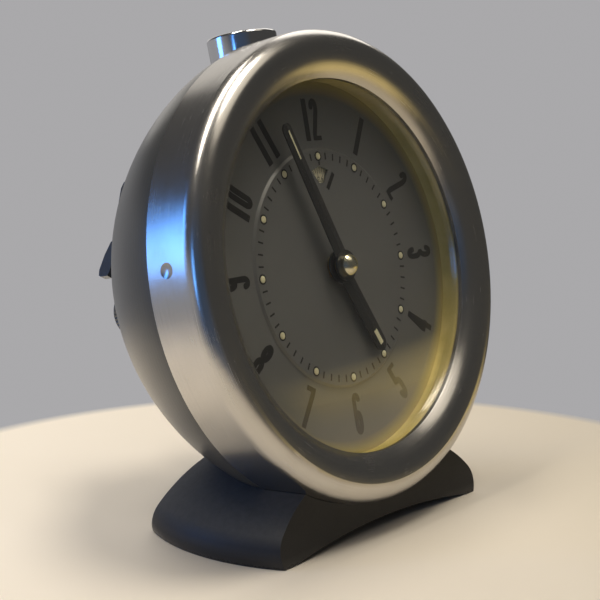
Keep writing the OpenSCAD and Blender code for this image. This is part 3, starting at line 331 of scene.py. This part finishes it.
def moulded(name, rgb, rough):
    """Moulded plastic: fine matt grain and handling shine."""
    s = Shader(name)
    at = s.table()
    grain = s.noise(at, 4.0, detail=4.0, rough=0.7)
    worn = s.noise(at, 0.35)
    s.feed(base_color=s.mix(s.span(grain, 0.3, 0.75), shade(rgb, 0.85), shade(rgb, 1.35)),
           roughness=s.span(worn, 0.35, 0.7, rough - 0.1, rough + 0.08),
           normal=s.bump(grain, 0.02 * MM))
    return s.mat


MATERIALS = {
    "nickel": brushed("satin_nickel", (0.58, 0.56, 0.53), 0.22, grain=7.0, depth=0.001,
                      tarnish=0.15, contrast=0.55),
    "crystal": crystal_plastic("aged_acrylic"),
    "dial_grey": dial_paint("dial_lacquer", (0.195, 0.199, 0.20)),
    "shell_paint": painted("shell_paint", (0.052, 0.05, 0.043), 0.36, scuff=0.15, coat=0.45),
    "foot_paint": foot_paint("foot_paint", (0.0155, 0.0152, 0.0156)),
    "chrome": brushed("polished_chrome", (0.72, 0.72, 0.73), 0.13, grain=4.0, depth=0.0006,
                      tarnish=0.08, contrast=0.3),
    "black_hands": painted("hand_lacquer", (0.026, 0.026, 0.027), 0.3, peel=2.0,
                           peel_depth=0.004, coat=0.5),
    "brass": brushed("plate_brass", (0.72, 0.55, 0.26), 0.32, along="up", grain=6.0),
    "steel": brushed("turned_steel", (0.56, 0.57, 0.58), 0.3, grain=7.0),
    "blued_spring": brushed("blued_steel", (0.16, 0.21, 0.34), 0.26, grain=5.0),
    "bell_metal": brushed("bell_metal", (0.66, 0.53, 0.29), 0.24, centre=(1, -20)),
    "key_steel": brushed("key_steel", (0.23, 0.25, 0.28), 0.34, along="up"),
    "knob_plastic": moulded("knob_plastic", (0.10, 0.098, 0.09), 0.5),
    "luminous": luminous_paint("luminous_disc", (0.80, 0.76, 0.55)),
}
NUT = brushed("pale_brass", (0.82, 0.77, 0.58), 0.2, depth=0.001, contrast=0.4)
INK = print_ink("dial_ink", (0.012, 0.012, 0.013))
LUME = luminous_paint("luminous_dots", (0.80, 0.77, 0.52))

for part in frame["record"]["subparts"]:
    mesh = nodes[part["node"]].data
    mesh.materials.clear()
    mesh.materials.append(NUT if part["node"] == "hand_nut" else MATERIALS[part["material_slot"]])


# Meshes

def new_mesh(name, bm, material):
    mesh = bpy.data.meshes.new(name)
    bm.to_mesh(mesh)
    bm.free()
    mesh.materials.append(material)
    return mesh


def new_object(name, data):
    obj = bpy.data.objects.new(name, data)
    bpy.context.scene.collection.objects.link(obj)
    return obj


def piece(name, bm, material, body, smooth=False):
    """A mesh made in the case frame, in millimetres, that rides on a body."""
    bmesh.ops.recalc_face_normals(bm, faces=bm.faces)
    bm.transform(CASE)
    mesh = new_mesh(name, bm, material)
    for polygon in mesh.polygons:
        polygon.use_smooth = smooth
    obj = new_object(name, mesh)
    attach(obj, body)
    return obj


def prism(bm, points, low, high):
    """Upright prism over a convex outline."""
    ring = [[bm.verts.new((x, y, z)) for x, y in points] for z in (low, high)]
    n = len(points)
    bm.faces.new(ring[0][::-1])
    bm.faces.new(ring[1])
    for i in range(n):
        k = (i + 1) % n
        bm.faces.new((ring[0][i], ring[0][k], ring[1][k], ring[1][i]))


def bar(bm, centre, angle, length, width, low, high):
    """Flat bar about a centre, with its length along an angle."""
    c, s = math.cos(angle), math.sin(angle)
    half_l, half_w = length / 2, width / 2
    corners = (-half_l, -half_w), (half_l, -half_w), (half_l, half_w), (-half_l, half_w)
    prism(bm, [(centre[0] + u * c - v * s, centre[1] + u * s + v * c) for u, v in corners],
          low, high)


def lathe(bm, centre, profile, segments=24):
    """Turns a profile of (radius, height) about an upright axis; radius 0 closes to a point."""
    rows = []
    for r, h in profile:
        if r == 0:
            rows.append([bm.verts.new((centre[0], centre[1], h))])
        else:
            rows.append([bm.verts.new((centre[0] + r * math.cos(a), centre[1] + r * math.sin(a), h))
                         for a in (2 * math.pi * i / segments for i in range(segments))])
    for low, high in zip(rows, rows[1:]):
        for i in range(segments):
            k = (i + 1) % segments
            corners = [low[i % len(low)], low[k % len(low)],
                       high[k % len(high)], high[i % len(high)]]
            bm.faces.new(list(dict.fromkeys(corners)))


# Numbers

def arc(cx, cy, rx, ry, start, stop, n=20):
    """Points along an ellipse, from one angle in degrees to another."""
    angles = [math.radians(start + (stop - start) * i / n) for i in range(n + 1)]
    return [(cx + rx * math.cos(a), cy + ry * math.sin(a)) for a in angles]


# Middle lines of the strokes; those that run past the digit's box are cut off at it.
DIGITS = {
    "0": [arc(0, 7.9, 0.84, 1.5, 0, 180) + arc(0, 2.1, 0.84, 1.5, 180, 360) + [(0.84, 7.9)]],
    "1": [[(-0.1, -1), (-0.1, 11)], [(0.1, -1), (0.1, 11)]],
    "2": [arc(0, 7.8, 0.84, 1.6, 175, -25) + [(-0.84, 1.5), (-0.84, 0.5)],
          [(-0.84, 0.5), (2, 0.5)]],
    "3": [arc(0, 7.6, 0.84, 1.8, 165, -90), arc(0, 2.9, 0.88, 2.3, 90, -165)],
    "4": [[(0.5, -1), (0.5, 11)], [(0.4, 9.6), (-0.9, 3.1)], [(-0.9, 2.8), (2, 2.8)]],
    "5": [[(2, 9.45), (-0.8, 9.45), (-0.8, 5.6)],
          [(-0.8, 5.4)] + arc(0, 3.1, 0.86, 2.5, 120, -160)],
    "6": [arc(0, 7.9, 0.84, 1.5, 15, 180) + [(-0.84, 2.8)], arc(0, 2.9, 0.84, 2.3, 0, 360)],
    "7": [[(-2, 9.4), (2, 9.4)], [(0.9, 9.4), (-0.4, -1)]],
    "8": [arc(0, 7.4, 0.78, 1.9, 0, 360), arc(0, 2.8, 0.88, 2.2, 0, 360)],
    "9": [arc(0, 7.1, 0.84, 2.3, 0, 360), [(0.84, 7.2)] + arc(0, 2.1, 0.84, 1.5, 0, -165)],
}
DIGIT_W, DIGIT_H, STROKE = 3.0, 10.0, 0.72
DIGIT_PITCH = 3.35      # from one digit of a number to the next
LEVEL_THIN = 1.2        # how much thinner level strokes are than upright ones
OUTSIDE = 9.0           # a distance that no stroke reaches
NUDGE = 1e-6            # keeps outlines off the corners of the grid
NO_LENGTH = 1e-9        # keeps strokes without length from dividing by zero

# Sides by which an outline enters and leaves a grid cell, by the cell's corners that are inside.
CELL_WALKS = {
    1: [(0, 3)], 2: [(1, 0)], 3: [(1, 3)], 4: [(2, 1)], 5: [(0, 3), (2, 1)],
    6: [(2, 0)], 7: [(2, 3)], 8: [(3, 2)], 9: [(0, 2)], 10: [(1, 0), (3, 2)],
    11: [(1, 2)], 12: [(3, 1)], 13: [(0, 1)], 14: [(3, 0)],
}


def outlines(digit, step=0.06):
    """Closed outlines of a digit, from the distance to its strokes."""
    xs = np.arange(-DIGIT_W / 2 - 2 * step, DIGIT_W / 2 + 2.5 * step, step)
    ys = np.arange(-2 * step, DIGIT_H + 2.5 * step, step)
    gx, gy = np.meshgrid(xs, ys)
    field = np.full(gx.shape, OUTSIDE)
    for path in DIGITS[digit]:
        for (ax, ay), (bx, by) in zip(path, path[1:]):
            dx, dy = bx - ax, (by - ay) * LEVEL_THIN
            px, py = gx - ax, (gy - ay) * LEVEL_THIN
            t = np.clip((px * dx + py * dy) / max(dx * dx + dy * dy, NO_LENGTH), 0, 1)
            field = np.minimum(field, np.hypot(px - t * dx, py - t * dy) - STROKE)
    box = np.maximum(np.abs(gx) - DIGIT_W / 2, np.abs(gy - DIGIT_H / 2) - DIGIT_H / 2)
    field = np.maximum(field, box) + NUDGE

    def cut(i, j, side):
        """Name and place of the point where an outline crosses a side of a cell."""
        (ai, aj), (bi, bj) = (((i, j), (i + 1, j)), ((i + 1, j), (i + 1, j + 1)),
                              ((i, j + 1), (i + 1, j + 1)), ((i, j), (i, j + 1)))[side]
        fa, fb = field[aj, ai], field[bj, bi]
        t = fa / (fa - fb)
        place = xs[ai] + t * (xs[bi] - xs[ai]), ys[aj] + t * (ys[bj] - ys[aj])
        return (ai, aj, bi, bj), place

    onward, places = {}, {}
    inside = field < 0
    for j in range(len(ys) - 1):
        for i in range(len(xs) - 1):
            corners = (inside[j, i] + 2 * inside[j, i + 1]
                       + 4 * inside[j + 1, i + 1] + 8 * inside[j + 1, i])
            for a, b in CELL_WALKS.get(int(corners), ()):
                ka, pa = cut(i, j, a)
                kb, pb = cut(i, j, b)
                onward[ka], places[ka], places[kb] = kb, pa, pb
    loops = []
    while onward:
        key = next(iter(onward))
        loop = []
        while key in onward:
            loop.append(places[key])
            key = onward.pop(key)
        loops.append(thin(loop))
    return loops


def thin(loop, tolerance=0.006):
    """Drops the points of a closed outline that lie on a straight run."""
    kept = []
    for i, p in enumerate(loop):
        a = kept[-1] if kept else loop[-1]
        b = loop[(i + 1) % len(loop)]
        area = abs((b[0] - a[0]) * (p[1] - a[1]) - (b[1] - a[1]) * (p[0] - a[0]))
        if area > tolerance * math.hypot(b[0] - a[0], b[1] - a[1]):
            kept.append(p)
    return kept


OUTLINES = {d: outlines(d) for d in DIGITS}


def number(bm, text, centre, up, height, low, high):
    """Digits side by side about a centre; up is the direction of their heads, in radians."""
    k = height / DIGIT_H
    ux, uy = math.cos(up), math.sin(up)
    for i, digit in enumerate(text):
        shift = (i - (len(text) - 1) / 2) * DIGIT_PITCH
        sides, over = [], {}
        for loop in OUTLINES[digit]:
            ring = []
            for x, y in loop:
                u, v = (x + shift) * k, (y - DIGIT_H / 2) * k
                place = centre[0] + u * uy + v * ux, centre[1] - u * ux + v * uy
                ring.append(bm.verts.new((*place, low)))
                over[ring[-1]] = bm.verts.new((*place, high))
            sides += zip(ring, ring[1:] + ring[:1])
        edges = [bm.edges.new(side) for side in sides]
        filled = bmesh.ops.triangle_fill(bm, use_beauty=True, edges=edges)
        for face in [g for g in filled["geom"] if isinstance(g, bmesh.types.BMFace)]:
            bm.faces.new([over[v] for v in face.verts])
        for a, b in sides:
            bm.faces.new((a, b, over[b], over[a]))


# Crystal and dial

def turn(hour):
    """Direction of an hour on the dial, in radians."""
    return math.radians(90 - 30 * hour)


def polar(r, a):
    return r * math.cos(a), r * math.sin(a)


def crystal_profile(steps=30):
    """Closed outline of the crystal: domed front, flange, skirt and hollow inside."""
    outer = (LIP_R ** 2 + RISE ** 2) / (2 * RISE)
    middle = LEDGE_H + RISE - outer
    inner = outer - CRYSTAL_T
    inner_reach = math.sqrt(inner ** 2 - (LEDGE_H - CRYSTAL_T - middle) ** 2)

    def dome(radius, reach, i):
        r = reach * i / steps
        return r, middle + math.sqrt(radius ** 2 - r ** 2)

    front = [dome(outer, LIP_R, i) for i in range(steps + 1)]
    back = [dome(inner, inner_reach, i) for i in range(steps, -1, -1)]
    return front + [(FLANGE_R, LEDGE_H), (FLANGE_R, RING_H),
                    (SKIRT_R, RING_H), (SKIRT_R, LEDGE_H - CRYSTAL_T)] + back


lens = bmesh.new()
lathe(lens, (0, 0), crystal_profile(), 160)
crystal = piece("crystal_lens", lens, MATERIALS["crystal"], "case", smooth=True)
crystal.data.set_sharp_from_angle(angle=SHARP)
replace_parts(crystal, "crystal")

HOUR_R, HOUR_HEIGHT = 36.0, 10.3        # middle and height of the hour numbers
TRACK_R = 27.0                          # middle of the minute track
TICK_LENGTH, TICK_W = 1.7, 0.42         # minute marks
SPOT_R = 1.2                            # black spots under the luminous dots
DOT = ((0, -SUNK), (0.82, -SUNK), (0.82, 0.06), (0.68, 0.17), (0.42, 0.24), (0, 0.27))

hours = bmesh.new()
for hour in range(1, 13):
    a = turn(hour)
    upright = a + (math.pi if 4 <= hour <= 8 else 0)
    number(hours, str(hour), polar(HOUR_R, a), upright, HOUR_HEIGHT, *RING_PRINT)
piece("hour_numbers", hours, INK, "case")

track = bmesh.new()
for minute in range(60):
    a = math.radians(6 * minute)
    low, high = RAISED_PRINT
    if minute % 5:
        bar(track, polar(TRACK_R, a), a, TICK_LENGTH, TICK_W, low, high)
    else:
        lathe(track, polar(TRACK_R, a), [(0, low), (SPOT_R, low), (SPOT_R, high), (0, high)], 32)
piece("minute_track", track, INK, "case")

dots = bmesh.new()
for hour in range(12):
    top = RAISED_H + PRINT_T
    lathe(dots, polar(TRACK_R, turn(hour)), [(r, top + h) for r, h in DOT])
piece("luminous_hour_dots", dots, LUME, "case", smooth=True)

# Pointer beside the alarm window and index over it: centre, direction, length and width.
WINDOW_MARKS = (((3.3, 20.75), 50, 4.8, 1.15), ((0.1, 25.3), 90, 0.9, 0.5))

marks = bmesh.new()
for centre, degrees, length, width in WINDOW_MARKS:
    bar(marks, centre, math.radians(degrees), length, width, *RAISED_PRINT)
piece("alarm_window_marks", marks, INK, "case")

ALARM_Y = 19.2                          # centre of the alarm disc
SCALE_SHORT, SCALE_LONG = (4.5, 1.5), (4.2, 2.1)    # middle and length of its scale's lines
SCALE_W = 0.13
SCALE_NUMBER_R, SCALE_NUMBER_HEIGHT = 2.35, 1.35

scale = bmesh.new()
for k in range(36):
    a = math.radians(10 * k)
    middle, length = SCALE_SHORT if k % 3 else SCALE_LONG
    x, y = polar(middle, a)
    bar(scale, (x, ALARM_Y + y), a, length, SCALE_W, *DISC_PRINT)
for hour in range(1, 13):
    x, y = polar(SCALE_NUMBER_R, turn(-hour))
    number(scale, str(hour), (x, ALARM_Y + y), turn(-hour), SCALE_NUMBER_HEIGHT, *DISC_PRINT)
piece("alarm_disc_scale", scale, INK, "alarm_setting")


# Hands

HAND_T = 0.6                                # thickness of a hand
MINUTE_HAND_H, HOUR_HAND_H = 2.9, 1.4       # backs of the hands
INLAY_LIFT = 0.05                           # strip's surfaces over and under the ridge


def hand_inlay(name, body, degrees, start, stop, width, ridge_h, drop):
    """Luminous strip over a hand's ridge; degrees run clockwise from twelve."""
    bm = bmesh.new()
    a = math.radians(90 - degrees)
    c, s = math.cos(a), math.sin(a)
    outline = [(start, -width / 2), (start, 0), (start, width / 2),
               (stop, width / 2), (stop, 0), (stop, -width / 2)]
    low, high = [[bm.verts.new((u * c - v * s, u * s + v * c, ridge_h - drop * abs(v) + lift))
                  for u, v in outline] for lift in (-INLAY_LIFT, INLAY_LIFT)]
    for ring, order in ((low, -1), (high, 1)):
        bm.faces.new([ring[i] for i in (0, 1, 4, 5)][::order])
        bm.faces.new([ring[i] for i in (1, 2, 3, 4)][::order])
    for i in range(len(outline)):
        k = (i + 1) % len(outline)
        bm.faces.new((low[i], low[k], high[k], high[i]))
    return piece(name, bm, LUME, body)


hand_inlay("minute_hand_inlay", "hands", degrees=337.7, start=28.4, stop=35.8, width=0.46,
           ridge_h=MINUTE_HAND_H + HAND_T, drop=0.138)
hand_inlay("hour_hand_inlay", "hour", degrees=152.0, start=19.2, stop=23.2, width=1.3,
           ridge_h=HOUR_HAND_H + HAND_T, drop=0.12)


# Shut-off button, its spring and the marks on the back

BUTTON_R, BUTTON_FOOT_R, STEM_R = 8.8, 8.3, 2.0
BUTTON_TOP, BUTTON_FOOT = 60.5, 46.5
BUTTON_H = -17.4        # axis of the button and its spring, behind the dial
RIM, RIM_STEPS = 0.7, 6
DISH_R, DISH_DEPTH, DISH_STEPS = 7.8, 0.5, 4
SPRING_TURNS, SPRING_R, SPRING_WIRE = 6, 3.2, 0.35
SPRING_LOW, SPRING_TOP = 39.6, 46.1


def shut_off_button():
    """Button that stops the alarm: turned cap with a rounded rim, a shallow dish and a stem."""
    stem_low = min((CASE.inverted() @ v.co).y for v in nodes["alarm_button"].data.vertices)
    quarter = math.pi / 2
    rim = [(BUTTON_R - RIM + RIM * math.cos(a), BUTTON_TOP - RIM + RIM * math.sin(a))
           for a in (quarter * i / RIM_STEPS for i in range(RIM_STEPS + 1))]
    dish = [(DISH_R - DISH_DEPTH * i / DISH_STEPS,
             BUTTON_TOP - DISH_DEPTH * math.sin(quarter * i / DISH_STEPS))
            for i in range(DISH_STEPS + 1)]
    stem = [(0, stem_low), (STEM_R, stem_low), (STEM_R, BUTTON_FOOT), (BUTTON_FOOT_R, BUTTON_FOOT)]
    bm = bmesh.new()
    lathe(bm, (0, 0), stem + rim + dish + [(0, BUTTON_TOP - DISH_DEPTH)], 128)
    bm.transform(Matrix.Translation((0, 0, BUTTON_H)) @ Matrix.Rotation(-quarter, 4, "X"))
    button = piece("button_cap", bm, MATERIALS["chrome"], "button", smooth=True)
    button.data.set_sharp_from_angle(angle=SHARP)
    return button


def coil_spring(around=24, sides=10):
    """Spring that lifts the button: round wire wound about the button's stem."""
    bm = bmesh.new()
    rows = []
    steps = SPRING_TURNS * around
    for i in range(steps + 1):
        a = 2 * math.pi * i / around
        height = SPRING_LOW + (SPRING_TOP - SPRING_LOW) * i / steps
        row = []
        for k in range(sides):
            b = 2 * math.pi * k / sides
            r = SPRING_R + SPRING_WIRE * math.cos(b)
            row.append(bm.verts.new((r * math.cos(a), height + SPRING_WIRE * math.sin(b),
                                     BUTTON_H + r * math.sin(a))))
        rows.append(row)
    for low, high in zip(rows, rows[1:]):
        for k in range(sides):
            n = (k + 1) % sides
            bm.faces.new((low[k], low[n], high[n], high[k]))
    bm.faces.new(rows[0][::-1])
    bm.faces.new(rows[-1])
    return piece("button_return_spring", bm, MATERIALS["steel"], "case", smooth=True)


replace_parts(shut_off_button(), "alarm_button")
spring = coil_spring()
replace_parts(spring, "button_spring")
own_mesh(spring)

shell_mesh = nodes["rear_shell"].data
SHELL = BVHTree.FromPolygons([v.co for v in shell_mesh.vertices],
                             [p.vertices for p in shell_mesh.polygons])
BEHIND = -80.0          # start of the rays that find the shell's back
TIME_KEY, ALARM_KEY = (21.54, 9.14), (-15.0, 18.5)
ARROW_R, ARROW_W, HEAD_W = 15.5, 0.9, 3.2
HEAD_SHARE = 0.13       # length of an arrow's head as a share of its shaft
TIP_W = 0.04            # width that is left at the tip
SHAFT_STEPS, HEAD_STEPS, COLUMNS = 30, 8, 6


def on_back(x, y, lift):
    """Point over the back of the shell, lifted off its paint."""
    ahead = CASE.to_3x3().col[2].normalized()
    hit = SHELL.ray_cast(CASE @ Vector((x, y, BEHIND)), ahead)[0]
    return x, y, (CASE.inverted() @ hit).z - lift


def winding_arrow(bm, centre, start, stop):
    """Printed arrow on the back of the shell that shows which way a key winds."""
    sweep = stop - start
    shaft = [(start + sweep * i / SHAFT_STEPS, ARROW_W) for i in range(SHAFT_STEPS + 1)]
    head = [(stop + sweep * HEAD_SHARE * i / HEAD_STEPS, HEAD_W * (1 - i / HEAD_STEPS) + TIP_W)
            for i in range(HEAD_STEPS + 1)]
    spread = [k / COLUMNS - 0.5 for k in range(COLUMNS + 1)]
    rows = []
    for degrees, wide in shaft + head:
        places = [polar(ARROW_R + side * wide, math.radians(degrees)) for side in spread]
        rows.append([[bm.verts.new(on_back(centre[0] + x, centre[1] + y, lift)) for x, y in places]
                     for lift in (PRINT_T, -PRINT_T)])
    for (top, low), (next_top, next_low) in zip(rows, rows[1:]):
        for k in range(COLUMNS):
            bm.faces.new((top[k], top[k + 1], next_top[k + 1], next_top[k]))
            bm.faces.new((low[k + 1], low[k], next_low[k], next_low[k + 1]))
        bm.faces.new((top[-1], low[-1], next_low[-1], next_top[-1]))
        bm.faces.new((low[0], top[0], next_top[0], next_low[0]))
    for top, low in (rows[0], rows[-1][::-1]):
        bm.faces.new(low + top[::-1])


arrows = bmesh.new()
winding_arrow(arrows, TIME_KEY, -38, 52)
winding_arrow(arrows, ALARM_KEY, 78, 168)
piece("winding_arrows", arrows, print_ink("shell_print", (0.34, 0.33, 0.30)), "case")


# Stage, light and camera

WALL = (0.40, 0.395, 0.405)
ROOM_DARK = (0.062, 0.061, 0.058)
ROOM_PALE = (0.36, 0.355, 0.36)
ROOM_DUSK = (0.05, 0.075, 0.125)
ROOM_ABOVE = (0.07, 0.069, 0.068)
TABLE = (0.94, 0.86, 0.735), (0.97, 0.89, 0.77)
# Painted falloff of light on the table's front right.
TABLE_FALLOFF_SHADE = (0.50, 0.44, 0.34)
TABLE_LIT = (0.86, 0.66, 0.27)
FRONT_RIGHT = (0.765, -0.644, 0)
FRONT_LEFT = (-0.838, -0.546, 0)
FRONT_UP = (0.60, -0.76, 0.25)
FLOOR_R = 6.0
TABLE_EDGE = 0.1225, 0.129      # where the camera sees the table end
ROOM_EDGE = 0.13, 0.22          # where reflections and light do


def room_tone(s, pale, front, left):
    """Colour of the room by direction: pale behind the clock, dark in front, dusk at the left."""
    tone = s.mix(s.span(front, -0.4, 0.45), pale, ROOM_DARK)
    return s.mix(s.span(left, 0.75, 0.95), tone, ROOM_DUSK)


def stage_floor():
    """Cream table, darker toward the front right by a painted falloff of light, that runs out into
    the pale wall, and for reflections into a dim room.
    """
    s = Shader("floor", roughness=0.6)
    at = s.add("TexCoord").outputs["Object"]
    away = s.about(at)[0]
    ahead = s.dot(at, FRONT_RIGHT)
    near = s.mix(s.span(s.noise(at, 9.0, detail=4.0), 0.3, 0.7), *TABLE)
    # Painted shade: the table darkens toward the front right, as the light falls off there.
    s.feed(base_color=s.mix(s.span(ahead, -0.09, 0.14, 0.0, 0.9), near, TABLE_FALLOFF_SHADE))
    seen = s.add("LightPath").outputs["Is Camera Ray"]
    front = s.math("DIVIDE", ahead, away)
    tone = room_tone(s, ROOM_PALE, front, s.math("DIVIDE", s.dot(at, FRONT_LEFT), away))
    lit = s.times(s.span(front, 0.88, 0.95), s.span(away, 0.55, 0.25))
    distant = s.mix(seen, s.mix(lit, tone, TABLE_LIT), WALL)
    far = s.span(seen, 0.0, 1.0, s.span(away, *ROOM_EDGE), s.span(away, *TABLE_EDGE))
    s.give_way(far, s.add("Emission", {"Color": distant}))
    bm = bmesh.new()
    bmesh.ops.create_circle(bm, cap_ends=True, segments=96, radius=FLOOR_R)
    floor = new_object("floor", new_mesh("floor", bm, s.mat))


def room():
    """Pale wall behind the clock, a darker room in front of it and above."""
    world = bpy.data.worlds.new("room")
    world.use_nodes = True
    s = Nodes(world.node_tree)
    way = s.add("TexCoord").outputs["Generated"]
    back = s.mix(s.span(s.split(way)[2], 0.08, 0.26), ROOM_PALE, ROOM_ABOVE)
    tone = room_tone(s, back, s.dot(way, FRONT_UP), s.dot(way, FRONT_LEFT))
    seen = s.mix(s.add("LightPath").outputs["Is Camera Ray"], tone, WALL)
    s.tree.links.new(seen, s.tree.nodes["Background"].inputs["Color"])
    bpy.context.scene.world = world


def lamp(name, place, target, size, power, rgb):
    """Oval area lamp that faces a target."""
    data = bpy.data.lights.new(name, "AREA")
    data.shape = "ELLIPSE"
    data.size, data.size_y = size
    data.energy = power
    data.color = rgb
    obj = new_object(name, data)
    obj.location = place
    obj.rotation_euler = (Vector(target) - Vector(place)).to_track_quat("-Z", "Y").to_euler()


MIDDLE = (0, 0, 0.06)
BEHIND_LEFT = (-0.245, 0.078, 0.06)
WARM = (1.0, 0.93, 0.82)
WARMER = (1.0, 0.91, 0.76)
PALE = (1.0, 0.95, 0.88)
EVENING = (0.09, 0.34, 1.0)
EVENING_FRONT = (0.10, 0.36, 1.0)

stage_floor()
room()
lamp("key", (-0.3, 0.27, 1.2), BEHIND_LEFT, (1.2, 0.22), 7.4, WARM)
lamp("key_front", (0.12, -0.16, 1.2), MIDDLE, (0.5, 0.3), 5.4, WARM)
lamp("fill", (0.2, -0.45, 1.15), MIDDLE, (0.9, 0.9), 2.0, WARMER)
lamp("window_front", (-1.25, -0.2, 0.25), MIDDLE, (0.2, 0.45), 1.0, EVENING_FRONT)
lamp("window", (-0.93, 0.84, 0.3), MIDDLE, (0.35, 0.6), 2.8, EVENING)
lamp("rear", (0.7, 1.0, 0.62), MIDDLE, (0.9, 0.9), 1.4, PALE)
lamp("side", (0.95, 0.45, 0.8), MIDDLE, (0.7, 0.7), 2.2, PALE)

CAMERA_PLACE = (-0.27096, -0.21336, 0.11054)
RIGHT = Vector((0.6339, -0.7734, 0.0001))
DOWN = Vector((-0.1157, -0.0950, -0.9887))
AHEAD = Vector((0.7647, 0.6267, -0.1497))

camera_data = bpy.data.cameras.new("camera")
camera_data.sensor_width = 36.0
camera_data.lens = 85.68
camera_data.shift_x = 0.0083
camera_data.shift_y = -0.0317
camera = new_object("camera", camera_data)
camera.matrix_world = (Matrix.Translation(CAMERA_PLACE)
                       @ Matrix((RIGHT, -DOWN, -AHEAD)).transposed().to_4x4())
bpy.context.scene.camera = camera
bpy.context.scene.view_settings.view_transform = "Standard"
